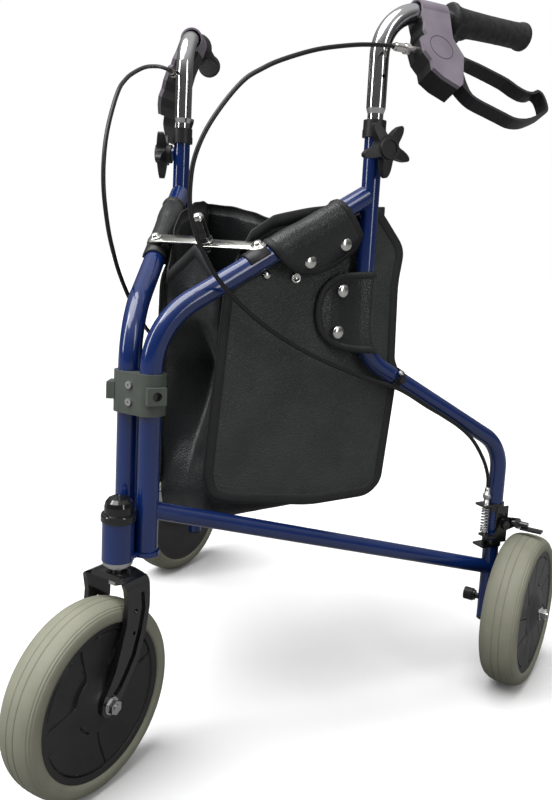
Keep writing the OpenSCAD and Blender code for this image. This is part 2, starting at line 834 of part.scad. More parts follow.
// Flat link bar from a frame pivot to the middle, with its frame bore and middle hole.
module link_solid(z) {
    difference() {
        union() {
            translate([link_half, link_y, z]) cylinder(r = 9, h = link_t);
            translate([0, link_y - 7.5, z]) cube([link_half, 15, link_t]);
            translate([0, link_y, z]) cylinder(r = 9, h = link_t);
        }
        translate([link_half, link_y, z - 1]) cylinder(r = axle_r + fit, h = 5);
        translate([0, link_y, z - 1]) cylinder(r = 3, h = 5);
    }
}

// ---------- bag ----------

module bag_panel_solid() {
    translate([0, 15.5, 0]) rotate([90, 0, 0]) linear_extrude(height = 3)
        polygon([
            [84, 521], [67, 300], [72, 283], [86, 272], [110, 266], [207, 258], [290, 259],
            [306, 266], [314, 282], [323, 422], [318, 436], [316, 530], [321, 572], [279, 590],
            [222, 590]
        ]);
}

module bag_flaps_solid() {
    union() {
        difference() {
            bar(saddle(32), saddle(128), front_r + 2);
            bar(saddle(20), saddle(140), front_r);
        }
        difference() {
            translate([post_u, 0, 484]) cylinder(r = rear_r + 2, h = 58);
            translate([post_u, 0, 480]) cylinder(r = rear_r, h = 70);
        }
    }
}

// Bag body: wedge plan between the frames, rim rising to the rear, inset by t all round.
module bag_space(t, low, high) {
    intersection() {
        translate([0, 0, low]) linear_extrude(height = 500)
            polygon([
                [-38 + t, -108 + t], [38 - t, -108 + t], [139 - 1.1 * t, 85], [132 - t, 96 - t],
                [-132 + t, 96 - t], [-139 + 1.1 * t, 85]
            ]);
        translate([-200, 0, 0]) rotate([90, 0, 90]) linear_extrude(height = 400)
            polygon([
                [-120, 200], [110, 200], [110, bag_rim - 46 + high], [60, bag_rim + high],
                [-120, bag_rim - 94 + high]
            ]);
    }
}

module bag_body() {
    color(cloth) difference() {
        bag_space(0, bag_floor, 0);
        bag_space(4, bag_floor + 4, 50);
    }
}

// ---------- nodes ----------

// Black grip sleeve of the middle pivot, pressed on the upper link bar.
module fold_knob() {
    top = link_z + 2 * link_t + slot;
    color(black) union() {
        translate([0, link_y, top]) cylinder(r = 8.5, h = 24);
        translate([0, link_y, top - link_t]) cylinder(r = 3, h = link_t);
    }
}

// Lower half of the middle pivot: bolt end and nut under the lower link bar.
module fold_nut() {
    color(steel) union() {
        translate([0, link_y, link_z - 11]) cylinder(r = 3, h = 11 + link_t);
        translate([0, link_y, link_z - 6]) cylinder(r = 7, h = 6, $fn = 6);
    }
}

module left_front_tube() { color(blue) frame_place() front_tube(); }
module left_rear_tube() {
    color(blue) difference() {
        frame_place() rear_tube();
        along_x([leg_x - 30, rear_y, wheel_r]) cylinder(r = axle_r, h = 60);
    }
}
module left_lower_strut() { color(blue) frame_place() lower_strut(); }
module left_post_collar() { color(black) frame_place() post_collar(); }
module left_leg_caps() { color(black) leg_caps(); }
module left_bag_panel() { color(cloth) frame_place() bag_panel_solid(); }
module left_bag_flaps() { color(cloth) frame_place() bag_flaps_solid(); }
module left_cable_clip() { color(black) frame_place() cable_clip(); }
module left_brake_bracket() { color(black) frame_place() brake_bracket(); }
module left_rear_axle() { color(chrome) rear_axle(); }
module left_brake_cable() { color(black) frame_place() brake_cable(left_cable_head); }
module left_brake_spring() { color(steel) frame_place() brake_spring(); }
module left_link_bracket() { color(black) frame_place() link_bracket(0); }
module left_handle_tube() { color(chrome) frame_place() handle_tube(); }
module left_grip() { color(black) frame_place() grip(); }
module left_lever_housing() { color(mauve) frame_place() housing(lever_roll_left); }
module left_cable_adjuster() { color(steel) frame_place() cable_adjuster(lever_roll_left); }
module left_brake_lever() { color(black) frame_place() brake_lever_solid(lever_roll_left); }
module left_star_knob() { color(black) frame_place() star_knob_solid(); }
module left_rear_tyre() { color(tyre_grey) rear_tyre(); }
module left_rear_hub() { color(black) rear_hub(); }
module left_brake_arm() { color(black) brake_arm(); }
module left_link_bar() { color(chrome) link_solid(link_z); }

module right_front_tube() { mirrored() left_front_tube(); }
module right_rear_tube() { mirrored() left_rear_tube(); }
module right_lower_strut() { mirrored() left_lower_strut(); }
module right_post_collar() { mirrored() left_post_collar(); }
module right_leg_caps() { mirrored() left_leg_caps(); }
module right_bag_panel() { mirrored() left_bag_panel(); }
module right_bag_flaps() { mirrored() left_bag_flaps(); }
module right_cable_clip() { mirrored() left_cable_clip(); }
module right_brake_bracket() { mirrored() left_brake_bracket(); }
module right_rear_axle() { mirrored() left_rear_axle(); }
module right_brake_cable() { color(black) mirrored() frame_place() brake_cable(right_cable_head); }
module right_brake_spring() { mirrored() left_brake_spring(); }
module right_link_bracket() { color(black) mirrored() frame_place() link_bracket(link_t + slot); }
module right_handle_tube() { mirrored() left_handle_tube(); }
module right_grip() { mirrored() left_grip(); }
module right_lever_housing() { color(mauve) mirrored() frame_place() housing(lever_roll_right); }
module right_cable_adjuster() { color(steel) mirrored() frame_place() cable_adjuster(lever_roll_right); }
module right_brake_lever() { color(black) mirrored() frame_place() brake_lever_solid(lever_roll_right); }
module right_star_knob() { mirrored() left_star_knob(); }
module right_rear_tyre() { mirrored() left_rear_tyre(); }
module right_rear_hub() { mirrored() left_rear_hub(); }
module right_brake_arm() { mirrored() left_brake_arm(); }
module right_link_bar() { color(chrome) mirrored() link_solid(link_z + link_t + slot); }

head_tube();
head_cap();
head_bearing();
clamp_front();
clamp_rear();
clamp_screws();
bag_body();
front_fork();
fork_stem();
front_axle();
front_tyre();
front_hub();
fold_knob();
fold_nut();
left_front_tube();
left_rear_tube();
left_lower_strut();
left_post_collar();
left_leg_caps();
left_bag_panel();
left_bag_flaps();
left_cable_clip();
left_brake_bracket();
left_rear_axle();
left_brake_cable();
left_brake_spring();
left_link_bracket();
left_handle_tube();
left_grip();
left_lever_housing();
left_cable_adjuster();
left_brake_lever();
left_star_knob();
left_rear_tyre();
left_rear_hub();
left_brake_arm();
left_link_bar();
right_front_tube();
right_rear_tube();
right_lower_strut();
right_post_collar();
right_leg_caps();
right_bag_panel();
right_bag_flaps();
right_cable_clip();
right_brake_bracket();
right_rear_axle();
right_brake_cable();
right_brake_spring();
right_link_bracket();
right_handle_tube();
right_grip();
right_lever_housing();
right_cable_adjuster();
right_brake_lever();
right_star_knob();
right_rear_tyre();
right_rear_hub();
right_brake_arm();
right_link_bar();
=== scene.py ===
import json
import math

import bmesh
import bpy
from mathutils import Matrix, Vector
from mathutils import noise as noise3


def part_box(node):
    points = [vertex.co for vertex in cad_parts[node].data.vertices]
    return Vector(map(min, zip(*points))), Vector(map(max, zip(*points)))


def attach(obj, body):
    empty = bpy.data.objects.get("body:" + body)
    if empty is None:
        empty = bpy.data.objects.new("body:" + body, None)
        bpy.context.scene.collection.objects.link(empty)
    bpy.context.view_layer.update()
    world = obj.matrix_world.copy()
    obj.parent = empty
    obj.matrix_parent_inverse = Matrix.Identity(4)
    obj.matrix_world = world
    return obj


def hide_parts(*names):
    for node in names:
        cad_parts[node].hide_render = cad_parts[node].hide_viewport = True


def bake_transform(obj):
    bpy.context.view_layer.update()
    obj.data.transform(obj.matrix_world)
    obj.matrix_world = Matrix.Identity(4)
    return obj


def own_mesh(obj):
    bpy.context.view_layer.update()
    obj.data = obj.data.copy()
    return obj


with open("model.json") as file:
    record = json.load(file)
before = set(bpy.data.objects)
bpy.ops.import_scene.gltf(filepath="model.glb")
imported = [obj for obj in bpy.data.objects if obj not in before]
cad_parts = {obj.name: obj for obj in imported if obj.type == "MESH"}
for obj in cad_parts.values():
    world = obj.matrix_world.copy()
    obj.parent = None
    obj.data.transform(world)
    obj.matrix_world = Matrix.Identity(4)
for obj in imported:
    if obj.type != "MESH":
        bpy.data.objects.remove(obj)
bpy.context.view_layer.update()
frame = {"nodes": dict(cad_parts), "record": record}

nodes = frame["nodes"]
SIDES = ("left", "right")


def put(name, data):
    """New object with this data, linked into the scene."""
    obj = bpy.data.objects.new(name, data)
    bpy.context.scene.collection.objects.link(obj)
    return obj


# ---------------------------------------------------------------- camera


def rotation(azimuth, elevation, roll):
    """Camera axes for a view along azimuth and elevation, turned by roll, in degrees."""
    a, e, r = (math.radians(v) for v in (azimuth, elevation, roll))
    back = Vector((math.sin(a) * math.cos(e), -math.cos(a) * math.cos(e), math.sin(e)))
    right = (-back).cross(Vector((0, 0, 1))).normalized()
    up = right.cross(-back)
    right, up = right * math.cos(r) + up * math.sin(r), up * math.cos(r) - right * math.sin(r)
    return Matrix((right, up, back)).transposed()


def make_camera():
    data = bpy.data.cameras.new("camera")
    cam = put("camera", data)
    data.sensor_fit = "VERTICAL"
    data.sensor_height = 36.0
    data.lens = 35.84
    data.shift_x = -0.0067
    data.shift_y = -0.0481
    data.clip_start = 0.05
    data.clip_end = 50
    stand = Matrix.Translation((0.55866, -0.79725, 0.56827))
    cam.matrix_world = stand @ rotation(32.18, 8.29, 2.98).to_4x4()
    bpy.context.scene.camera = cam


make_camera()

# ---------------------------------------------------------------- materials


def new_material(name, base, rough, metallic=0.0, coat=0.0, coat_rough=0.1, specular=0.5, sheen=0.0):
    m = bpy.data.materials.new(name)
    m.use_nodes = True
    b = m.node_tree.nodes["Principled BSDF"]
    b.inputs["Base Color"].default_value = (*base, 1)
    b.inputs["Roughness"].default_value = rough
    b.inputs["Metallic"].default_value = metallic
    b.inputs["Coat Weight"].default_value = coat
    b.inputs["Coat Roughness"].default_value = coat_rough
    b.inputs["Specular IOR Level"].default_value = specular
    b.inputs["Sheen Weight"].default_value = sheen
    return m


def add(m, kind, **values):
    n = m.node_tree.nodes.new(kind)
    for key, value in values.items():
        if hasattr(n, key):
            setattr(n, key, value)
        else:
            n.inputs[key.replace("_", " ")].default_value = value
    return n


def link(m, a, b):
    m.node_tree.links.new(a, b)


def bsdf(m):
    return m.node_tree.nodes["Principled BSDF"]


def coords(m, scale=(1, 1, 1)):
    tc = add(m, "ShaderNodeTexCoord")
    mp = add(m, "ShaderNodeMapping")
    mp.inputs["Scale"].default_value = scale
    link(m, tc.outputs["Object"], mp.inputs["Vector"])
    return mp.outputs["Vector"]


def noise(m, vec, scale, detail=3.0, rough=0.5):
    n = add(m, "ShaderNodeTexNoise", Scale=scale, Detail=detail, Roughness=rough)
    link(m, vec, n.inputs["Vector"])
    return n.outputs["Fac"]


def voronoi(m, vec, scale, feature="F1", output="Distance"):
    n = add(m, "ShaderNodeTexVoronoi", feature=feature, Scale=scale)
    link(m, vec, n.inputs["Vector"])
    return n.outputs[output]


def ramp(m, fac, stops):
    r = add(m, "ShaderNodeValToRGB")
    e = r.color_ramp.elements
    while len(e) < len(stops):
        e.new(0.5)
    for s, (pos, col) in zip(e, stops):
        s.position = pos
        s.color = (*col, 1) if len(col) == 3 else col
    link(m, fac, r.inputs["Fac"])
    return r.outputs["Color"]


def span(m, fac, low, high):
    r = add(m, "ShaderNodeMapRange")
    r.inputs["To Min"].default_value = low
    r.inputs["To Max"].default_value = high
    link(m, fac, r.inputs["Value"])
    return r.outputs["Result"]


def bump(m, height, strength, distance, normal=None):
    b = add(m, "ShaderNodeBump", Strength=strength, Distance=distance)
    link(m, height, b.inputs["Height"])
    if normal is not None:
        link(m, normal, b.inputs["Normal"])
    return b.outputs["Normal"]


def vary(m, base, amount, scale, detail=4.0):
    """Colour that drifts by amount round base."""
    v = coords(m)
    lo = [c * (1 - amount) for c in base]
    hi = [min(1, c * (1 + amount)) for c in base]
    link(m, ramp(m, noise(m, v, scale, detail), [(0.3, lo), (0.7, hi)]), bsdf(m).inputs["Base Color"])
    return v


def paint(name, base, rough=0.16):
    m = new_material(name, base, rough, coat=0.7, coat_rough=0.06, specular=0.5)
    v = vary(m, base, 0.12, 14)
    link(m, span(m, noise(m, v, 60, 4), rough * 0.8, rough * 1.5), bsdf(m).inputs["Roughness"])
    n = bump(m, noise(m, v, 420, 2), 0.06, 0.0004)
    link(m, bump(m, noise(m, v, 35, 2), 0.05, 0.002, n), bsdf(m).inputs["Normal"])
    return m


def metal(name, base, rough, scale=40):
    m = new_material(name, base, rough, metallic=1.0)
    v = vary(m, base, 0.05, 25)
    link(m, span(m, noise(m, v, scale, 6, 0.7), rough * 0.6, rough * 1.7), bsdf(m).inputs["Roughness"])
    link(m, bump(m, noise(m, v, 700, 3), 0.03, 0.0003), bsdf(m).inputs["Normal"])
    return m


def plastic(name, base, rough, grain=1400, strength=0.12, coat=0.0, amount=0.15):
    m = new_material(name, base, rough, coat=coat, specular=0.45)
    v = vary(m, base, amount, 30)
    link(m, span(m, noise(m, v, 90, 5), rough * 0.85, min(1, rough * 1.25)), bsdf(m).inputs["Roughness"])
    link(m, bump(m, noise(m, v, grain, 2), strength, 0.0003), bsdf(m).inputs["Normal"])
    return m


def grip_vinyl():
    base = (0.018, 0.018, 0.020)
    m = new_material("grip_vinyl", base, 0.55, specular=0.4)
    v = coords(m)
    blot = noise(m, v, 160, 6, 0.7)
    link(m, ramp(m, blot, [(0.35, (0.010, 0.010, 0.011)), (0.62, (0.028, 0.028, 0.031)),
                           (0.8, (0.07, 0.07, 0.075))]), bsdf(m).inputs["Base Color"])
    link(m, span(m, blot, 0.75, 0.32), bsdf(m).inputs["Roughness"])
    n = bump(m, noise(m, v, 300, 5, 0.7), 0.55, 0.0012)
    link(m, bump(m, voronoi(m, v, 900), 0.2, 0.0004, n), bsdf(m).inputs["Normal"])
    return m


def tyre_rubber():
    base = (0.24, 0.24, 0.18)
    m = new_material("tyre_rubber", base, 0.6, specular=0.35)
    v = coords(m)
    drift = noise(m, v, 12, 6, 0.6)
    link(m, ramp(m, drift, [(0.3, (0.20, 0.20, 0.152)), (0.7, (0.27, 0.27, 0.208))]),
         bsdf(m).inputs["Base Color"])
    link(m, span(m, noise(m, v, 40, 4), 0.45, 0.7), bsdf(m).inputs["Roughness"])
    n = bump(m, noise(m, v, 900, 3), 0.12, 0.0004)
    link(m, bump(m, noise(m, v, 30, 3), 0.08, 0.002, n), bsdf(m).inputs["Normal"])
    return m


def leatherette(name, base, grain=950, strength=0.45, gloss=0.42):
    m = new_material(name, base, gloss, specular=0.5, sheen=0.05)
    v = coords(m)
    lo, hi = ([c * k for c in base] for k in (0.7, 1.35))
    link(m, ramp(m, noise(m, v, 18, 5), [(0.3, lo), (0.7, hi)]), bsdf(m).inputs["Base Color"])
    link(m, span(m, noise(m, v, 60, 4), gloss * 0.85, gloss * 1.3), bsdf(m).inputs["Roughness"])
    n = bump(m, voronoi(m, v, grain, "SMOOTH_F1"), strength, 0.0009)
    link(m, bump(m, noise(m, v, grain * 0.35, 3), strength * 0.5, 0.0008, n), bsdf(m).inputs["Normal"])
    return m


# Materials by the record's slot name, then the ones for pieces made or refined here.
MATS = {
    "blue_paint": paint("blue_paint", (0.003, 0.020, 0.120)),
    "black_paint": paint("black_paint", (0.006, 0.006, 0.007), 0.10),
    "chrome": metal("chrome", (0.62, 0.62, 0.63), 0.10),
    "zinc": metal("zinc", (0.58, 0.58, 0.58), 0.28),
    "black_plastic": plastic("black_plastic", (0.014, 0.014, 0.016), 0.42),
    "gloss_cap": plastic("gloss_cap", (0.008, 0.008, 0.009), 0.14, strength=0.03, coat=0.4),
    "clamp_plastic": plastic("clamp_plastic", (0.075, 0.088, 0.075), 0.45),
    "housing_plastic": plastic("housing_plastic", (0.155, 0.125, 0.175), 0.5),
    "grip_rubber": grip_vinyl(),
    "tyre_grey": tyre_rubber(),
    "cable_sheath": plastic("cable_sheath", (0.010, 0.010, 0.010), 0.3, strength=0.05),
    "bag_cloth": leatherette("bag_cloth", (0.024, 0.030, 0.026), 760, 0.9, 0.38),
}
BINDING = leatherette("binding", (0.006, 0.0065, 0.007), 1500, 0.2, 0.55)
DISC = plastic("hub_disc", (0.021, 0.021, 0.021), 0.38)
# Painted light: the rear hub discs are the same plastic as hub_disc, coloured lighter to stand for the
# stronger light falling on them.
REAR_DISC_PAINTED_LIGHTER = plastic("rear_hub_disc", (0.040, 0.037, 0.039), 0.4)
NICKEL = metal("nickel", (0.74, 0.73, 0.70), 0.16)
LINK_METAL = metal("link_metal", (0.66, 0.66, 0.62), 0.2)
LINING = leatherette("bag_lining", (0.008, 0.0095, 0.010), 800, 0.45, 0.34)
FLAP = leatherette("flap_cloth", (0.011, 0.012, 0.0125), 800, 0.5, 0.27)
THREAD = plastic("thread", (0.022, 0.024, 0.023), 0.7, grain=2600, strength=0.3)


def dress(obj, material):
    obj.data.materials.clear()
    obj.data.materials.append(material)


SLOT_OF = {s["node"]: s["material_slot"] for s in frame["record"]["subparts"]}
for node_name, node_obj in nodes.items():
    dress(node_obj, MATS[SLOT_OF[node_name]])

# ---------------------------------------------------------------- side-frame coordinates

FRAME_ANGLE = math.radians(29.3)
SIN, COS = math.sin(FRAME_ANGLE), math.cos(FRAME_ANGLE)
HINGE_X, HINGE_Y = 15, -183.5
POST_U = 256
DIAGONAL_LOW, DIAGONAL_HIGH = 482, 632
DIAGONAL = math.atan2(DIAGONAL_HIGH - DIAGONAL_LOW, POST_U)
SLOPE_SIN, SLOPE_COS = math.sin(DIAGONAL), math.cos(DIAGONAL)
GRIP_START, GRIP_Z = 348, 837
CABLE_FOOT_U, CABLE_FOOT_W = 474, 3
UP = Vector((0, 0, 1))
LEVER_ROLL = {"left": math.radians(28), "right": math.radians(19)}


def at(side, u, w, z):
    """Side-frame millimetres (u rearward, w outward, z up) to scene metres."""
    x = HINGE_X + u * SIN + w * COS
    y = HINGE_Y + u * COS - w * SIN
    return Vector((x if side == "left" else -x, y, z)) / 1000


def outward(side):
    """Unit direction square to the side frame, away from the bag."""
    return (at(side, 0, 1, 0) - at(side, 0, 0, 0)).normalized()


def diagonal_z(u):
    """Height of the front tube's diagonal axis."""
    return DIAGONAL_LOW + u * math.tan(DIAGONAL)


def rolled(side, u, n, d):
    """A point d below the grip axis and n to the outer side, in the plane rolled outward."""
    c, s = math.cos(LEVER_ROLL[side]), math.sin(LEVER_ROLL[side])
    return at(side, u, n * c + d * s, GRIP_Z + n * s - d * c)


# ---------------------------------------------------------------- mesh helpers


def make_piece(name, verts, faces, materials, body, slot, marks=None, replaces=(), smooth=True):
    """Mesh object from points and faces; marks gives a material index per face."""
    mesh = bpy.data.meshes.new(name)
    mesh.from_pydata([tuple(v) for v in verts], [], faces)
    for m in materials:
        mesh.materials.append(m)
    if marks:
        mesh.polygons.foreach_set("material_index", marks)
    bm = bmesh.new()
    bm.from_mesh(mesh)
    bmesh.ops.recalc_face_normals(bm, faces=bm.faces)
    bm.to_mesh(mesh)
    bm.free()
    mesh.polygons.foreach_set("use_smooth", [smooth] * len(mesh.polygons))
    obj = put(name, mesh)
    if body:
        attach(obj, body)
    if replaces:
        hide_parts(*replaces)
    return obj


def sharp_edges(obj, degrees=35):
    """Smooth shading with crisp creases above the angle."""
    obj.data.set_sharp_from_angle(angle=math.radians(degrees))


class Build:
    """Collects several closed shapes into one mesh."""

    def __init__(self):
        self.verts, self.faces, self.marks = [], [], []

    def add(self, verts, faces, mark=0):
        base = len(self.verts)
        self.verts += verts
        self.faces += [[i + base for i in f] for f in faces]
        self.marks += [mark] * len(faces)

    def tube(self, path, radius, sides=12, mark=0):
        """Round tube along points in metres; radius is a number or one per point."""
        radii = radius if isinstance(radius, (list, tuple)) else [radius] * len(path)
        frames = transport(path)
        verts = [
            p + (a * math.cos(t) + b * math.sin(t)) * r
            for p, (a, b), r in zip(path, frames, radii)
            for t in [math.tau * k / sides for k in range(sides)]
        ]
        self.skin(verts, len(path), sides, mark)

    def skin(self, verts, rows, cols, mark=0):
        faces = [
            [i * cols + k, i * cols + (k + 1) % cols, (i + 1) * cols + (k + 1) % cols, (i + 1) * cols + k]
            for i in range(rows - 1)
            for k in range(cols)
        ]
        faces += [list(range(cols))[::-1], [(rows - 1) * cols + k for k in range(cols)]]
        self.add(verts, faces, mark)

    def lathe(self, centre, axis, profile, sides=48, mark=0):
        """Turned shape: profile is (distance along axis, radius) in millimetres."""
        axis = axis.normalized()
        a = axis.orthogonal().normalized()
        b = axis.cross(a)
        verts = [
            centre + (axis * h + (a * math.cos(t) + b * math.sin(t)) * max(r, 0.02)) / 1000
            for h, r in profile
            for t in [math.tau * k / sides for k in range(sides)]
        ]
        self.skin(verts, len(profile), sides, mark)

    def prism(self, outline, place, low, high, mark=0, edge=0.5):
        """Outline extruded from low to high with eased edges; place(x, y, h) gives metres."""
        inner = offset(outline, edge)
        rows = [(inner, low), (outline, low + edge), (outline, high - edge), (inner, high)]
        verts = [place(x, y, h) for loop, h in rows for x, y in loop]
        self.skin(verts, len(rows), len(outline), mark)

    def piece(self, name, materials, body, slot, **more):
        return make_piece(name, self.verts, self.faces, materials, body, slot, self.marks, **more)


def transport(path):
    """A pair of cross axes per point, carried along without twist."""
    out = []
    a = None
    for i in range(len(path)):
        t = (path[min(i + 1, len(path) - 1)] - path[max(i - 1, 0)]).normalized()
        a = t.orthogonal().normalized() if a is None else (a - t * a.dot(t)).normalized()
        out.append((a, t.cross(a)))
    return out


def spline(points, steps):
    """Catmull-Rom through points."""
    out = []
    n = len(points)
    for i in range(n - 1):
        p0, p1, p2, p3 = (points[max(0, min(n - 1, j))] for j in (i - 1, i, i + 1, i + 2))
        for k in range(steps):
            t = k / steps
            out.append(0.5 * (2 * p1 + (p2 - p0) * t + (2 * p0 - 5 * p1 + 4 * p2 - p3) * t * t
                              + (3 * p1 - p0 - 3 * p2 + p3) * t ** 3))
    return out + [points[-1]]


def running_length(points):
    """Distance along a polyline to each of its points."""
    marks = [0.0]
    for a, b in zip(points, points[1:]):
        marks.append(marks[-1] + (b - a).length)
    return marks


def resample(points, count, closed=False):
    """Evenly spaced points along a polyline of 2-D vectors."""
    pts = list(points) + ([points[0]] if closed else [])
    marks = running_length(pts)
    out = []
    j = 0
    for i in range(count):
        want = marks[-1] * i / (count if closed else count - 1)
        while j < len(pts) - 2 and marks[j + 1] < want:
            j += 1
        step = marks[j + 1] - marks[j]
        out.append(pts[j].lerp(pts[j + 1], (want - marks[j]) / step if step else 0))
    return out


def rounded(corners, radius, steps=6):
    """Closed outline with its corners filleted."""
    pts = [Vector(c) for c in corners]
    out = []
    for i, p in enumerate(pts):
        a, b = pts[i - 1], pts[(i + 1) % len(pts)]
        reach = min(radius, (a - p).length * 0.45, (b - p).length * 0.45)
        s, e = p + (a - p).normalized() * reach, p + (b - p).normalized() * reach
        for k in range(steps + 1):
            t = k / steps
            out.append(s * (1 - t) ** 2 + p * 2 * t * (1 - t) + e * t * t)
    return out


def area_sign(loop):
    """Twice the enclosed area, positive when the loop runs anticlockwise."""
    return sum(a[0] * b[1] - a[1] * b[0] for a, b in zip(loop, loop[1:] + loop[:1]))


def offset(loop, by):
    """Loop moved inward by a distance along its vertex normals."""
    pts = [Vector(p) for p in loop]
    turn = 1 if area_sign(pts) > 0 else -1
    out = []
    for i, p in enumerate(pts):
        t = (pts[(i + 1) % len(pts)] - pts[i - 1]).normalized()
        out.append(p + Vector((-t.y, t.x)) * by * turn)
    return out


def wrinkle(p, scale, seed=0.0):
    """Smooth noise from -1 to 1 at a point in metres."""
    return noise3.noise(Vector(p) * scale + Vector((seed, seed * 1.7, -seed)))


# ---------------------------------------------------------------- sewn sheets


def sewn_sheet(name, corners, radius, mapping, body, replaces, bind=12.0, soft=1.2,
               count=220, seed=1.0, cloth=None):
    """Closed thin sheet with a raised binding round it and a row of stitches.

    corners is its outline in its own flat coordinates, mapping takes (p, q, h) to metres,
    with h the height above the sheet's middle surface, in millimetres.
    """
    loop = resample(rounded(corners, radius), count, closed=True)
    centre = sum(loop, Vector((0, 0))) / count
    depths = [(0.0, 0.0), (0.7, 1.15), (3.0, 1.75), (bind * 0.5, 1.9), (bind - 2.2, 1.7),
              (bind - 0.5, 1.1), (bind, 0.62), (bind + 1.2, 0.78)]
    rings = [(offset(loop, d), h) for d, h in depths]
    last = rings[-1][0]
    for k in range(1, 15):
        t = (k / 15) ** 0.9
        rings.append(([p.lerp(centre, t) for p in last], 0.8))
    build = Build()
    verts = []
    for face in (1, -1):
        for i, (ring, h) in enumerate(rings):
            if face < 0 and i == 0:
                continue
            for p in ring:
                inside = min(1, i / 8)
                wave = soft * inside * (wrinkle((p.x / 1000, p.y / 1000, seed), 9, seed)
                                        + 0.5 * abs(wrinkle((p.x / 1000, p.y / 2000, 0), 26, seed)))
                verts.append(mapping(p.x, p.y, face * h + wave))
        verts.append(mapping(centre.x, centre.y, face * 0.8))
    n = len(rings)
    faces, marks = [], []

    def index(face, ring, k):
        if ring == 0:
            return k % count
        base = 0 if face > 0 else n * count + 1 - count
        return base + ring * count + k % count

    for face in (1, -1):
        tip = n * count if face > 0 else 2 * n * count - count + 1
        for r in range(n - 1):
            for k in range(count):
                faces.append([index(face, r, k), index(face, r, k + 1), index(face, r + 1, k + 1),
                              index(face, r + 1, k)])
                marks.append(1 if r < 6 else 0)
        for k in range(count):
            faces.append([index(face, n - 1, k), index(face, n - 1, k + 1), tip])
            marks.append(0)
    build.verts, build.faces, build.marks = verts, faces, marks
    stitch_row(build, offset(loop, bind - 2.4), mapping, 1.75, 2)
    return build.piece(name, [cloth or MATS["bag_cloth"], BINDING, THREAD], body, "bag_cloth",
                       replaces=replaces), loop


def stitch_row(build, loop, mapping, height, mark, pitch=4.2, length=2.9):
    """Small raised stitches at an even pitch round a loop."""
    count = int(running_length(loop + loop[:1])[-1] / pitch)
    places = resample(loop, count, closed=True)
    for i, p in enumerate(places):
        t = (places[(i + 1) % count] - places[i - 1]).normalized()
        side = Vector((-t.y, t.x)) * 0.35
        a, b = p - t * length / 2, p + t * length / 2
        mid_h = height + 0.42
        verts = [mapping(*(a - side), height - 0.2), mapping(*(a + side), height - 0.2),
                 mapping(*(p + side), mid_h), mapping(*(p - side), mid_h),
                 mapping(*(b - side), height - 0.2), mapping(*(b + side), height - 0.2)]
        build.add(verts, [[0, 1, 2, 3], [3, 2, 5, 4], [0, 3, 4], [1, 5, 2], [0, 4, 5, 1]], mark)


def snap(name, centre, outward, body, ring=False, radius=7.8):
    """Press stud: a domed cap in a rolled flange, or its open socket."""
    build = Build()
    if ring:
        profile = [(-0.4, 0.0), (-0.4, radius * 0.86), (0.5, radius * 0.95), (1.5, radius * 0.86),
                   (1.8, radius * 0.66), (1.0, radius * 0.5), (0.4, radius * 0.42), (0.3, 0.0)]
    else:
        profile = [(-0.6, 0.0), (-0.6, radius * 0.94), (0.3, radius), (1.1, radius * 0.97),
                   (1.9, radius * 0.86), (2.5, radius * 0.64), (2.8, radius * 0.34), (2.9, 0.0)]
    build.lathe(centre, outward, profile, 36)
    return build.piece(name, [NICKEL], body, "chrome")


# side panels, their flaps and snaps

PANEL = [(84, 525), (67, 311), (74, 286), (98, 277), (207, 263), (290, 266), (309, 282),
         (323, 426), (317, 436), (314, 530), (320, 572), (279, 619), (240, 606)]
PANEL_W = -13.0
# Flap over the diagonal tube as (along the tube, round it), and flap round the post as (round it, height).
TOP_FLAP = [(-50, 4), (-54, 40), (-50, 66), (-36, 92), (-8, 112), (27, 117), (55, 111), (64, 98),
            (51, 40), (48, 4)]
POST_FLAP = [(2, 449), (42, 448), (76, 452), (97, 470), (103, 495), (98, 520), (78, 540), (40, 544),
             (2, 543)]
TOP_FLAP_U = 175


def arc(centre, radius, start, end, steps):
    """Points on a circle from start to end degrees."""
    return [
        Vector((centre[0] + radius * math.cos(t), centre[1] + radius * math.sin(t)))
        for t in [math.radians(start + (end - start) * k / steps) for k in range(steps + 1)]
    ]


def path_frame(path):
    """Lookup from the distance s along a 2-D path to the (point, normal) there."""
    marks = running_length(path)

    def find(s):
        s = max(0.0, min(marks[-1], s))
        j = 0
        while j < len(path) - 2 and marks[j + 1] < s:
            j += 1
        f = (s - marks[j]) / max(1e-9, marks[j + 1] - marks[j])
        p = path[j].lerp(path[j + 1], f)
        t = (path[min(len(path) - 1, j + 2)] - path[max(0, j - 1)]).normalized()
        return p, Vector((t.y, -t.x))

    return find


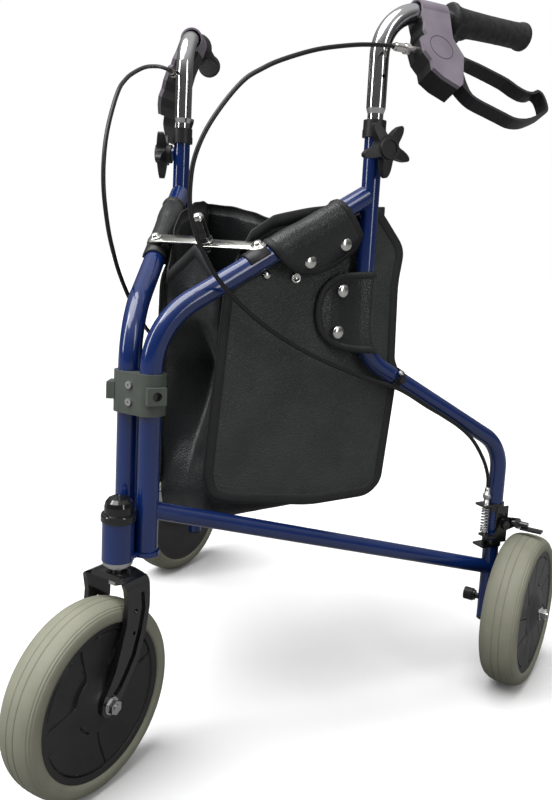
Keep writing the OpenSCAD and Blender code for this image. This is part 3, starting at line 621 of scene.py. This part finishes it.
def side_fabric(side):
    """The sheets sewn and snapped to one side frame, and the cable clip's screw."""
    body = side + "_frame"
    seed = 3.0 if side == "left" else 7.0

    def on_panel(u, z, h):
        lean = 1.6 * math.sin((z - 270) / 105.0 + seed) * math.sin((u - 60) / 80.0)
        return at(side, u, PANEL_W + h + lean, z)

    panel, loop = sewn_sheet(f"{side}_side_panel", PANEL, 14, on_panel, body,
                             [f"{side}_bag_panel"], soft=1.5, seed=seed)

    # flap over the diagonal tube: s runs over the tube, a along it
    over = [Vector((-13.8, -14)), Vector((-13.8, -7))] + arc((0, 0), 13.8, 180, 0, 16)
    over += [Vector(p) for p in [(13.4, -8), (10.8, -20), (5.5, -33), (-0.5, -44), (-6.5, -54)]]
    find = path_frame(over)
    origin_z = diagonal_z(TOP_FLAP_U)

    def on_diagonal(a, s, h):
        p, normal = find(s)
        w, up = p.x - normal.x * h, p.y - normal.y * h
        return at(side, TOP_FLAP_U + a * SLOPE_COS - up * SLOPE_SIN, w,
                  origin_z + a * SLOPE_SIN + up * SLOPE_COS)

    flap, loop = sewn_sheet(f"{side}_top_flap", TOP_FLAP, 12, on_diagonal, body,
                            [f"{side}_bag_flaps"], bind=8, soft=3.6, count=150, seed=seed + 1, cloth=FLAP)

    # flap round the post
    wrap = [Vector((262, -14)), Vector((268.5, -10)), Vector((270.4, -3))]
    wrap += [Vector((POST_U + 12.6 * math.cos(t), 12.6 * math.sin(t))) for t in
             [math.radians(a) for a in range(10, 100, 10)]]
    wrap += [Vector(p) for p in [(247, 9.6), (240, 6), (228, -3), (215, -8.5), (195, -10.5)]]
    find_post = path_frame(wrap)

    def on_post(s, z, h):
        p, normal = find_post(s)
        bend = 60 - math.sqrt(max(0.0, 3600 - max(0.0, 481.7 - z) ** 2))
        hold = max(0.0, min(1.0, (62 - s) / 26))
        return at(side, p.x + normal.x * h + bend * hold, p.y + normal.y * h, z)

    flap2, loop = sewn_sheet(f"{side}_post_flap", POST_FLAP, 14, on_post, body,
                             [f"{side}_bag_flaps"], bind=8, soft=2.6, count=150, seed=seed + 2, cloth=FLAP)

    out = outward(side)
    screw = Build()
    screw.lathe(at(side, 309, 11.5, 423), out * 0.75 + UP * 0.66,
                [(0, 0), (0, 3.6), (2.2, 3.6), (3.4, 2.9), (3.9, 1.6), (4.0, 0)], 24)
    screw.piece(f"{side}_clip_screw", [MATS["zinc"]], body, "zinc")
    for tag, *place in (("top_a", 223, 7.0, 573), ("top_b", 177, 8.4, 552),
                        ("post_a", 228, 0.0, 520), ("post_b", 225, -1.2, 472)):
        snap(f"{side}_snap_{tag}", at(side, *place), out, body)
    snap(f"{side}_snap_open", at(side, 171, -11.2, 533), out, body, ring=True, radius=6.8)
    snap(f"{side}_snap_stud", at(side, 134, -11.2, 535), out, body, radius=4.6)


# ---------------------------------------------------------------- bag body

FRONT_Y, REAR_Y = -107, 96
FRONT_X, REAR_X = 38, 139
# How far the front gusset folds in at each height.
CREASE = [(250, 2), (290, 3), (308, 6), (318, 9), (344, 22), (378, 38), (403, 48), (425, 55), (447, 38),
          (470, 19), (483, 8), (503, 6), (572, 4), (620, 3)]


def table_value(rows, x):
    """Value at x between the rows of a table, held beyond its ends."""
    for (x0, y0), (x1, y1) in zip(rows, rows[1:]):
        if x <= x1:
            return y0 + (y1 - y0) * max(0.0, min(1.0, (x - x0) / (x1 - x0)))
    return rows[-1][1]


def bag_plan(count):
    """Evenly spaced points round the bag seen from above."""
    corners = [(FRONT_X, FRONT_Y), (REAR_X, REAR_Y), (-REAR_X, REAR_Y), (-FRONT_X, FRONT_Y)]
    return resample(rounded(corners, 10, 5), count, closed=True)


# Height of the rim along the side walls, by distance rearward.
SIDE_RIM = [(84, 531), (104, 546), (124, 583), (152, 601), (190, 610), (232, 618), (275, 622), (316, 620)]


def bag_rim_height(p):
    """Rim height: low in front, bulging over the diagonal, then level round the rear."""
    reach = max(0.0, min(1.0, (p.y - FRONT_Y) / (REAR_Y - FRONT_Y)))
    if p.y < FRONT_Y + 4:
        return 531 + 34 * (1 - abs(p.x) / FRONT_X)
    z = table_value(SIDE_RIM, 84 + 232 * reach)
    if p.y > REAR_Y - 4:
        across = p.x / REAR_X
        z = 614 - 8 * across - 9 * (1 - across * across) + 3 * math.sin(across * 7)
    return z + 3.0 * wrinkle((p.x / 1000, p.y / 1000, 0), 30, 9.0) * reach


def bag_point(p, z, out_by, seed=5.0):
    """Plan point p at height z, moved outward and wrinkled."""
    q = Vector((p.x, p.y))
    normal = Vector((math.copysign(0.87, p.x), -0.49))
    if p.y < FRONT_Y + 3:
        normal = Vector((0, -1))
    elif p.y > REAR_Y - 3:
        normal = Vector((0, 1))
    low = max(0.0, 1 - (z - 256) / 26)
    tuck = 5 * low * low
    if p.y < FRONT_Y + 6:
        q += Vector((0, table_value(CREASE, z) * (1 - abs(p.x) / FRONT_X)))
    folds = 0.0
    if p.y > REAR_Y - 3:
        across = p.x / REAR_X
        folds = 5.5 * math.sin((z - 256) / 340 * math.pi) * (1 - across * across)
        folds += 3.2 * math.sin(across * 9 + z / 90) * (1 - across * across)
    fine = 2.2 * wrinkle((p.x / 1000, p.y / 1000, z / 2600), 26, seed) + 0.8 * wrinkle(
        (p.x / 1000, p.y / 1000, z / 1500), 60, seed)
    q += normal * (out_by - tuck - abs(folds) + min(0.8, fine) - 2.0)
    return Vector((q.x, q.y, z)) / 1000


def bag_body():
    """Open-topped bag: walls in rows up to a bound hem, then a sagging floor in rings."""
    count, rows, rings = 200, 64, 16
    plan = bag_plan(count)
    verts, faces, marks = [], [], []
    hem = [(-14.0, 0.0), (-13.0, 1.2), (-7.0, 1.5), (-1.2, 1.3), (0.0, 0.3)]
    for r in range(rows + 1):
        for p in plan:
            top = bag_rim_height(p) - 15.5
            low = 257 + 15 * max(0.0, (p.y - FRONT_Y) / (REAR_Y - FRONT_Y)) ** 2
            verts.append(bag_point(p, low + (top - low) * (r / rows), 0.0))
    for dz, out_by in hem:
        for p in plan:
            verts.append(bag_point(p, bag_rim_height(p) + dz, out_by))
    for r in range(rows + len(hem)):
        for k in range(count):
            faces.append([r * count + k, r * count + (k + 1) % count, (r + 1) * count + (k + 1) % count,
                          (r + 1) * count + k])
            marks.append(1 if r > rows else 0)
    centre = sum(plan, Vector((0, 0))) / count
    base = len(verts)
    for i in range(1, rings):
        t = i / rings
        for k, p in enumerate(plan):
            edge = verts[k] * 1000
            q = Vector((edge.x, edge.y)).lerp(centre, t)
            dip = 4.0 * math.sin(t * math.pi / 2) + 1.2 * wrinkle((q.x / 1000, q.y / 1000, 0.3), 22, 2.0)
            verts.append(Vector((q.x, q.y, edge.z + (261 - edge.z) * t - dip)) / 1000)
    verts.append(Vector((centre.x, centre.y, 258)) / 1000)
    tip = len(verts) - 1
    for k in range(count):
        k2 = (k + 1) % count
        faces.append([k2, k, base + k, base + k2])
        marks.append(0)
        for i in range(rings - 2):
            a = base + i * count
            faces.append([a + k2, a + k, a + count + k, a + count + k2])
            marks.append(0)
        a = base + (rings - 2) * count
        faces.append([a + k2, a + k, tip])
        marks.append(0)
    bag = make_piece("bag_body_cloth", verts, faces, [LINING, BINDING], "head", "bag_cloth", marks,
                     replaces=["bag_body"])
    bpy.context.view_layer.objects.active = bag
    solid = bag.modifiers.new("thickness", "SOLIDIFY")
    solid.thickness = 0.0016
    solid.offset = -1
    with bpy.context.temp_override(object=bag, active_object=bag, selected_objects=[bag]):
        bpy.ops.object.modifier_apply(modifier="thickness")
    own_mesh(bag)


# ---------------------------------------------------------------- cables and springs

CABLE_HEAD = {
    "left": [(255, 25.7, 789), (230, 27.5, 786), (200, 29.5, 780.5), (157, 32, 769), (115, 35, 752)],
    "right": [(255, 17.8, 785.5), (230, 20.5, 783.5), (200, 24, 779), (157, 29, 768.5), (115, 34, 752)],
}
CABLE_TAIL = [
    (92, 36.5, 739.5), (74, 37.5, 727), (54, 38.5, 704), (35, 39, 675), (24, 38.5, 647),
    (21, 37.5, 621), (23, 35.5, 597), (32, 33.5, 571), (46, 31, 547), (60, 29, 529),
    (86, 26, 505), (121, 23, 480), (163, 20, 457), (212, 17, 436), (257, 15.5, 420),
    (306, 15, 405), (352, 14, 381), (395, 13, 359), (430, 11, 335), (456, 8, 305),
    (470, 5, 280), (474, 3, 262),
]
CABLE_D = 4.8


def cable(side):
    """Sheath from the lever housing to the rear leg, with the barrel and wire at its lower end."""
    path = spline([at(side, *p) for p in CABLE_HEAD[side] + CABLE_TAIL], 6)
    build = Build()
    build.tube(path, CABLE_D / 2000, 14)
    sheath = build.piece(f"{side}_cable_sheath", [MATS["cable_sheath"]], None, "cable_sheath")
    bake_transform(sheath)
    end = Build()

    def high(z):
        return at(side, CABLE_FOOT_U, CABLE_FOOT_W, 0) + UP * z / 1000

    end.lathe(high(236), UP, [(0, 0), (0, 4.1), (3, 4.4), (3.4, 4.0), (12, 4.0), (12, 0)], 24)
    end.lathe(high(247.8), UP, [(0, 0), (0, 5.6), (0.6, 6.0), (5, 6.0), (5.6, 5.4), (6, 4.2), (12, 4.2),
                                (12.6, 3.8), (14.5, 3.4), (14.5, 0)], 6)
    end.lathe(high(198.5), UP, [(0, 0), (0, 2.6), (1.6, 2.8), (3.4, 2.4), (3.4, 0.8), (40, 0.8), (40, 0)], 16)
    end.piece(f"{side}_cable_end", [MATS["zinc"]], f"{side}_frame", "zinc",
              replaces=[f"{side}_brake_cable"])
    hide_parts(f"{side}_brake_cable")


def spring(side):
    """Return spring round the brake wire, its end turns drawn closer."""
    turns, low, high, coil_r, wire_d = 9.5, 200.4, 234.6, 5.0, 1.4
    foot = at(side, CABLE_FOOT_U, CABLE_FOOT_W, 0)
    steps = int(turns * 20)
    path = []
    for i in range(steps + 1):
        f = i / steps
        ease = f - 0.035 * math.sin(f * math.tau)
        t = math.tau * turns * f
        turn = Vector((coil_r * math.cos(t), coil_r * math.sin(t), low + (high - low) * ease))
        path.append(foot + turn / 1000)
    build = Build()
    build.tube(path, wire_d / 2000, 8)
    coil = build.piece(f"{side}_spring_coil", [MATS["zinc"]], f"{side}_frame", "zinc",
                       replaces=[f"{side}_brake_spring"])
    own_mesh(coil)


# ---------------------------------------------------------------- handles

GRIP = [(0, 11.2), (0, 17.6), (0.8, 19.4), (2.4, 20.2), (4.6, 20.0), (7, 18.8), (10, 17.4), (15, 16.6),
        (22, 16.1), (34, 15.6), (50, 15.3), (66, 15.1), (82, 15.1), (96, 15.2), (106, 15.4), (110, 15.8),
        (112, 16.7), (114, 17.0), (116.5, 16.9), (118.2, 16.0), (119.4, 13.5), (120, 9.0), (120, 0.4)]


def grip(side):
    """Turned sleeve with a lip underneath and worn grain, and its palm rest."""
    start = at(side, GRIP_START, 0, GRIP_Z)
    along = (at(side, 400, 0, GRIP_Z) - start).normalized()
    out = outward(side)
    stations = []
    for (h0, r0), (h1, r1) in zip(GRIP, GRIP[1:]):
        parts = max(1, int((h1 - h0) / 2.5))
        stations += [(h0 + (h1 - h0) * k / parts, r0 + (r1 - r0) * k / parts) for k in range(parts)]
    stations.append(GRIP[-1])
    sides = 72
    verts = []
    for h, r in stations:
        for k in range(sides):
            t = math.tau * k / sides
            under = max(0.0, -math.sin(t)) ** 3
            lip = 3.6 * math.exp(-((h - 21) / 7) ** 2) * under if r > 12 else 0
            worn = 0.0
            if 8 < h < 112:
                worn = 0.16 * wrinkle((h / 1000, math.cos(t) * 0.01, math.sin(t) * 0.01), 180, 4.0)
            spoke = out * math.cos(t) + UP * math.sin(t)
            verts.append(start + (along * h + spoke * (r + lip + worn)) / 1000)
    build = Build()
    build.skin(verts, len(stations), sides)
    obj = build.piece(f"{side}_grip_sleeve", [MATS["grip_rubber"]], f"{side}_handle", "grip_rubber",
                      replaces=[f"{side}_grip"])
    sharp_edges(obj, 50)
    palm_rest(side)


PALM_REST = [(3, 13), (5, 19.5), (10, 23.4), (19, 27), (27, 30), (32, 31.3), (35.5, 31), (37, 28.5),
             (36.6, 24), (35, 18), (33.6, 13)]


def palm_rest(side):
    """Leaf-shaped rest that grows out of the grip, inboard and down, thinning to its rim."""
    tilt = math.radians(30)
    loop = resample(rounded([Vector(p) for p in PALM_REST], 2.5, 4), 90, closed=True)
    middle = Vector((19, 14))
    layers = [(0.80, -2.2), (0.93, -1.7), (1.0, -0.5), (1.0, 0.5), (0.93, 1.7), (0.80, 2.2)]
    verts = []
    for shrink, h in layers:
        for p in loop:
            q = middle + (p - middle) * shrink
            reach = q.y * math.cos(tilt) - h * math.sin(tilt)
            drop = q.y * math.sin(tilt) + h * math.cos(tilt)
            verts.append(at(side, GRIP_START + q.x, -reach, GRIP_Z - drop))
    build = Build()
    build.skin(verts, len(layers), len(loop))
    build.piece(f"{side}_palm_rest", [MATS["grip_rubber"]], f"{side}_handle", "grip_rubber")


# ---------------------------------------------------------------- folding link

LINK_TILT = math.radians(29)
LINK_X, LINK_Y, LINK_Z = 71.77, -82.34, 566
SADDLE_U = 116


def on_link(side, x, y, h):
    """Link coordinates: x from the middle, y across the bar, h above the lower bar's middle plane."""
    c, s = math.cos(LINK_TILT), math.sin(LINK_TILT)
    return Vector((x if side == "left" else -x, LINK_Y + y * c - h * s, LINK_Z + y * s + h * c)) / 1000


def capsule(x0, x1, radius, waist, steps=12):
    """Bar outline with round ends of one radius and a narrower middle."""
    pts = arc((x1, 0), radius, -90, 90, steps) + [Vector((x1 - 12, waist))]
    pts += [Vector((x0 + 12, waist))] + arc((x0, 0), radius, 90, 270, steps)
    return pts + [Vector((x0 + 12, -waist)), Vector((x1 - 12, -waist))]


def link_parts():
    """Both bars with their bolts and saddles, then the sleeve, dome and nut of the middle pivot."""
    up = (on_link("left", 0, 0, 1) - on_link("left", 0, 0, 0)).normalized()
    for side in SIDES:
        rise = 0.0 if side == "left" else 3.4
        bar = Build()
        bar.prism(capsule(0, LINK_X, 9.5, 8.2), lambda x, y, h: on_link(side, x, y, h),
                  rise - 1.3, rise + 1.3)
        bar.piece(f"{side}_link_plate", [LINK_METAL], f"{side}_link", "chrome",
                  replaces=[f"{side}_link_bar"])
        bolt = Build()
        bolt.lathe(on_link(side, LINK_X, 0, rise + 1.3), up,
                   [(0, 0), (0, 7.6), (0.9, 7.8), (1.2, 6.4), (1.2, 5.6), (3.0, 5.3), (4.6, 4.2), (5.3, 2.4),
                    (5.5, 0)], 32)
        bolt.piece(f"{side}_link_bolt", [NICKEL], f"{side}_frame", "chrome")
        z0 = diagonal_z(SADDLE_U)
        strap = Build()
        verts = []
        low_edge, high_edge, steps = math.radians(12), math.radians(168), 20
        for along, r in ((-13, 13.4), (-12, 14.6), (12, 14.6), (13, 13.4)):
            ring = [(r, low_edge + (high_edge - low_edge) * k / steps) for k in range(steps + 1)]
            ring += [(12.2, high_edge - (high_edge - low_edge) * k / steps) for k in range(steps + 1)]
            for radius, t in ring:
                verts.append(at(side, SADDLE_U + along * SLOPE_COS - radius * math.sin(t) * SLOPE_SIN,
                                radius * math.cos(t),
                                z0 + along * SLOPE_SIN + radius * math.sin(t) * SLOPE_COS))
        strap.skin(verts, 4, 2 * steps + 2)
        foot = at(side, SADDLE_U, 0, z0 + 9)
        boss = on_link(side, LINK_X, 0, rise - 1.5) - foot
        tall = boss.length * 1000
        strap.lathe(foot, boss, [(0, 0), (0, 8.6), (tall - 1, 7.4), (tall, 6.8), (tall, 0)], 28)
        strap.piece(f"{side}_link_saddle", [MATS["black_plastic"]], f"{side}_frame", "black_paint",
                    replaces=[f"{side}_link_bracket"])
    knob = Build()
    knob.lathe(on_link("right", 0, 0, 4.7), up,
               [(0, 0), (0, 9.4), (1.6, 9.6), (2.4, 8.4), (4, 7.6), (12, 7.3), (22, 7.0), (26.5, 6.6),
                (28.6, 5.4), (29.8, 3.4), (30.2, 0)], 40)
    dome = Build()
    dome.lathe(on_link("right", 0, 0, 29.5), up,
               [(0, 0), (0, 7.0), (1.2, 7.2), (3.4, 6.9), (5.8, 5.6), (7.2, 3.4), (7.8, 0)], 40)
    dome.piece("link_dome", [NICKEL], "right_link", "chrome")
    knob.piece("link_knob", [MATS["gloss_cap"]], "right_link", "gloss_cap", replaces=["fold_knob"])
    nut = Build()
    nut.lathe(on_link("left", 0, 0, -12.5), up, [(0, 0), (0, 2.6), (1, 3), (5.5, 3), (5.5, 0)], 20)
    nut.lathe(on_link("left", 0, 0, -7.2), up,
              [(0, 0), (0, 6.3), (0.7, 6.9), (4.6, 6.9), (5.3, 6.3), (5.6, 0)], 6)
    nut.piece("link_nut", [MATS["zinc"]], "left_link", "zinc", replaces=["fold_nut"])


# ---------------------------------------------------------------- tyres

# Rings as (distance from the middle, half width, depth).
TYRE_GROOVES = [(4.6, 0.55, 0.9), (19.2, 0.5, 0.6), (21.6, 0.45, 0.55)]


def tyre(name, centre, body, node):
    """Solid grey tyre: a full round section with fine rings along the tread and shoulders."""
    half, inner, outer = 24.0, 80.8, 100.0
    steps = 150
    section = []
    for i in range(steps + 1):
        t = -1 + 2 * i / steps
        angle = t * math.pi / 2
        x = half * math.copysign(abs(math.sin(angle)) ** 0.80, angle)
        rise = abs(math.cos(angle)) ** 0.62
        r = inner + 3 + (outer - inner - 3) * rise
        cut = max(depth * math.exp(-(((abs(x) - at_x) / width) ** 2)) for at_x, width, depth in TYRE_GROOVES)
        section.append((x, r - cut))
    section = [(-half + 2.6, inner), (-half + 0.6, inner + 1.2)] + section[1:-1] + [
        (half - 0.6, inner + 1.2), (half - 2.6, inner)]
    sides = 144
    verts = [
        Vector((centre[0] + x, centre[1] + r * math.cos(t), centre[2] + r * math.sin(t))) / 1000
        for x, r in section
        for t in [math.tau * k / sides for k in range(sides)]
    ]
    rows = len(section)
    faces = [
        [i * sides + k, i * sides + (k + 1) % sides, ((i + 1) % rows) * sides + (k + 1) % sides,
         ((i + 1) % rows) * sides + k]
        for i in range(rows)
        for k in range(sides)
    ]
    obj = make_piece(name, verts, faces, [MATS["tyre_grey"]], body, "tyre_grey", replaces=[node])
    sharp_edges(obj, 60)


def polar(radius, degrees):
    t = math.radians(degrees)
    return Vector((radius * math.cos(t), radius * math.sin(t)))


def thick(path, half):
    """Outline of a line of the given half width, mitred at its corners."""
    left, right = [], []
    for i, p in enumerate(path):
        before = (p - path[i - 1]).normalized() if i else (path[1] - p).normalized()
        after = (path[i + 1] - p).normalized() if i < len(path) - 1 else before
        normal = Vector((-before.y - after.y, before.x + after.x)).normalized()
        reach = half / max(0.35, normal.dot(Vector((-before.y, before.x))))
        left.append(p + normal * reach)
        right.append(p - normal * reach)
    return left + right[::-1]


# Moulded outlines on the hub disc as (radius, angle) runs, angles from straight down towards the rear.
HUB_LINES = [
    [(72.5, 204), (64, 205.5), (39.5, 211.5)] + [(35.5, a) for a in range(216, 264, 8)] + [(72.5, 270)],
    [(33.5, -6), (46, -2), (70, 5), (73.4, 3)] + [(73.5, a) for a in range(-2, -52, -7)],
    [(32.5, a) for a in range(298, 332, 8)],
    [(74, a) for a in range(89, 24, -6)],
    [(57, 109), (70, 107.5), (73.4, 110)] + [(74, a) for a in range(115, 150, 7)] + [(71, 153.5), (37, 164)],
]


def grooved_front_hub():
    """The front hub again, with its moulded outlines cut into both faces of the disc."""
    centre = node_middle("front_hub")
    cutter = Build()
    for run in HUB_LINES:
        for low, high in ((16.0, 24.0), (-24.0, -18.6)):
            cutter.prism(thick([polar(*p) for p in run], 0.9), lambda x, y, h: Vector(
                (centre[0] + h, centre[1] + y, centre[2] - x)) / 1000, low, high, edge=0.01)
    shape = bpy.data.meshes.new("hub_cutter")
    shape.from_pydata([tuple(v) for v in cutter.verts], [], cutter.faces)
    tool = put("hub_cutter", shape)
    hub = put("front_hub_disc", nodes["front_hub"].data.copy())
    for obj in (tool, hub):
        bm = bmesh.new()
        bm.from_mesh(obj.data)
        bmesh.ops.remove_doubles(bm, verts=bm.verts, dist=1e-6)
        bmesh.ops.recalc_face_normals(bm, faces=bm.faces)
        bm.to_mesh(obj.data)
        bm.free()
    cut = hub.modifiers.new("grooves", "BOOLEAN")
    cut.operation, cut.solver, cut.object = "DIFFERENCE", "EXACT", tool
    graph = bpy.context.evaluated_depsgraph_get()
    mesh = bpy.data.meshes.new_from_object(hub.evaluated_get(graph))
    hub.modifiers.clear()
    hub.data = mesh
    bpy.data.objects.remove(tool)
    dress(hub, DISC)
    mesh.polygons.foreach_set("use_smooth", [True] * len(mesh.polygons))
    sharp_edges(hub, 30)
    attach(hub, "front_wheel")
    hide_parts("front_hub")


def node_middle(node):
    low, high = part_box(node)
    return [500 * (a + b) for a, b in zip(low, high)]


# ---------------------------------------------------------------- finishes on the fixed parts


def black_outside(m, mask):
    """Keeps the material's colour where mask is 1 and makes the rest black."""
    mix = add(m, "ShaderNodeMix", data_type="RGBA")
    link(m, mask, mix.inputs["Factor"])
    mix.inputs["A"].default_value = (0.012, 0.012, 0.013, 1)
    link(m, bsdf(m).inputs["Base Color"].links[0].from_socket, mix.inputs["B"])
    link(m, mix.outputs["Result"], bsdf(m).inputs["Base Color"])


def two_tone(side):
    """Housing plastic: mauve face plate and wrap over a black body, split by place on the part."""
    m = plastic(f"housing_{side}", (0.215, 0.185, 0.225), 0.46)
    origin = rolled(side, 0, 0, 0)
    out = (rolled(side, 0, 1, 0) - origin).normalized()
    down = (rolled(side, 0, 0, 1) - origin).normalized()
    tc = add(m, "ShaderNodeTexCoord")
    rel = add(m, "ShaderNodeVectorMath", operation="SUBTRACT")
    link(m, tc.outputs["Object"], rel.inputs[0])
    rel.inputs[1].default_value = origin
    tests = []
    for axis, limit, kind in ((out, 0.0092, "GREATER_THAN"), (down, 0.0125, "LESS_THAN")):
        dot = add(m, "ShaderNodeVectorMath", operation="DOT_PRODUCT")
        link(m, rel.outputs["Vector"], dot.inputs[0])
        dot.inputs[1].default_value = axis
        test = add(m, "ShaderNodeMath", operation=kind)
        link(m, dot.outputs["Value"], test.inputs[0])
        test.inputs[1].default_value = limit
        tests.append(test)
    either = add(m, "ShaderNodeMath", operation="MAXIMUM")
    link(m, tests[0].outputs[0], either.inputs[0])
    link(m, tests[1].outputs[0], either.inputs[1])
    black_outside(m, either.outputs[0])
    return m


def axle_finish(side):
    """Bright axle whose end inboard of the leg is black."""
    m = metal(f"axle_{side}", (0.62, 0.62, 0.63), 0.2)
    tc = add(m, "ShaderNodeTexCoord")
    split = add(m, "ShaderNodeSeparateXYZ")
    link(m, tc.outputs["Object"], split.inputs["Vector"])
    reach = add(m, "ShaderNodeMath", operation="ABSOLUTE")
    link(m, split.outputs["X"], reach.inputs[0])
    test = add(m, "ShaderNodeMath", operation="GREATER_THAN")
    link(m, reach.outputs[0], test.inputs[0])
    test.inputs[1].default_value = 0.252
    black_outside(m, test.outputs[0])
    link(m, test.outputs[0], bsdf(m).inputs["Metallic"])
    return m


EASED = {"front_fork": 2.2, "clamp_front": 0.8, "clamp_rear": 0.8, "lever_housing": 1.0, "star_knob": 1.2,
         "brake_lever": 1.0, "brake_arm": 0.4, "brake_bracket": 0.4, "post_collar": 0.6}


def ease_edges():
    for name, obj in nodes.items():
        key = name.replace("left_", "").replace("right_", "")
        if key in EASED and not obj.hide_render:
            bevel = obj.modifiers.new("eased edges", "BEVEL")
            bevel.width = EASED[key] / 1000
            bevel.segments = 3
            bevel.limit_method = "ANGLE"
            bevel.angle_limit = math.radians(40)
            bevel.use_clamp_overlap = True


for side_name in SIDES:
    side_fabric(side_name)
    cable(side_name)
    spring(side_name)
    grip(side_name)
    dress(nodes[f"{side_name}_lever_housing"], two_tone(side_name))
    dress(nodes[f"{side_name}_cable_adjuster"], NICKEL)
    dress(nodes[f"{side_name}_rear_axle"], axle_finish(side_name))
    # Rear hub disc gets the lighter copy of the disc plastic: painted light, not a different colour.
    dress(nodes[f"{side_name}_rear_hub"], REAR_DISC_PAINTED_LIGHTER)
    tyre(f"{side_name}_rear_tyre_round", node_middle(f"{side_name}_rear_tyre"), f"{side_name}_wheel",
         f"{side_name}_rear_tyre")
tyre("front_tyre_round", node_middle("front_tyre"), "front_wheel", "front_tyre")
grooved_front_hub()
bag_body()
link_parts()
ease_edges()


# ---------------------------------------------------------------- stage


def floor():
    """Pale ground, white to the camera and darker to the light it bounces."""
    bpy.ops.mesh.primitive_plane_add(size=40, location=(0, 0, -0.0006))
    o = bpy.context.object
    o.name = "floor"
    m = new_material("floor", (0.95, 0.95, 0.95), 0.85, specular=0.05)
    vary(m, (0.95, 0.95, 0.95), 0.005, 3)
    bounce = add(m, "ShaderNodeBsdfDiffuse", Color=(0.22, 0.22, 0.22, 1))
    path = add(m, "ShaderNodeLightPath")
    mix = add(m, "ShaderNodeMixShader")
    link(m, path.outputs["Is Camera Ray"], mix.inputs["Fac"])
    link(m, bounce.outputs[0], mix.inputs[1])
    link(m, bsdf(m).outputs[0], mix.inputs[2])
    link(m, mix.outputs[0], m.node_tree.nodes["Material Output"].inputs["Surface"])
    dress(o, m)


def area(name, place, target, size, power, colour=(1, 1, 1)):
    d = bpy.data.lights.new(name, "AREA")
    d.shape = "RECTANGLE"
    d.size, d.size_y = size
    d.energy = power
    d.color = colour
    o = put(name, d)
    o.location = place
    o.rotation_euler = (Vector(target) - Vector(place)).to_track_quat("-Z", "Y").to_euler()


def light():
    """Grey studio sky that the camera sees as white, a soft sun and two tall panels."""
    world = bpy.data.worlds.new("studio")
    bpy.context.scene.world = world
    world.use_nodes = True
    bg = world.node_tree.nodes["Background"]
    bg.inputs["Strength"].default_value = 1.0
    tc = add(world, "ShaderNodeTexCoord")
    split = add(world, "ShaderNodeSeparateXYZ")
    link(world, tc.outputs["Generated"], split.inputs["Vector"])
    greys = [(0.0, 0.10), (0.12, 0.07), (0.45, 0.22), (0.8, 0.6)]
    sky = ramp(world, split.outputs["Z"], [(at_z, (grey,) * 3) for at_z, grey in greys])
    path = add(world, "ShaderNodeLightPath")
    mix = add(world, "ShaderNodeMix", data_type="RGBA")
    link(world, path.outputs["Is Camera Ray"], mix.inputs["Factor"])
    link(world, sky, mix.inputs["A"])
    mix.inputs["B"].default_value = (1, 1, 1, 1)
    link(world, mix.outputs["Result"], bg.inputs["Color"])
    sun = bpy.data.lights.new("overhead", "SUN")
    sun.energy = 3.3
    sun.angle = math.radians(55)
    put("overhead", sun).rotation_euler = Vector((0.35, 0.7, -1.7)).to_track_quat("-Z", "Y").to_euler()
    area("key", (-1.7, -2.3, 1.9), (0, 0, 0.45), (0.5, 2.4), 34)
    area("fill", (2.6, -0.6, 1.5), (0, 0, 0.45), (0.5, 2.2), 16)
    bpy.context.scene.view_settings.view_transform = "Standard"


floor()
light()
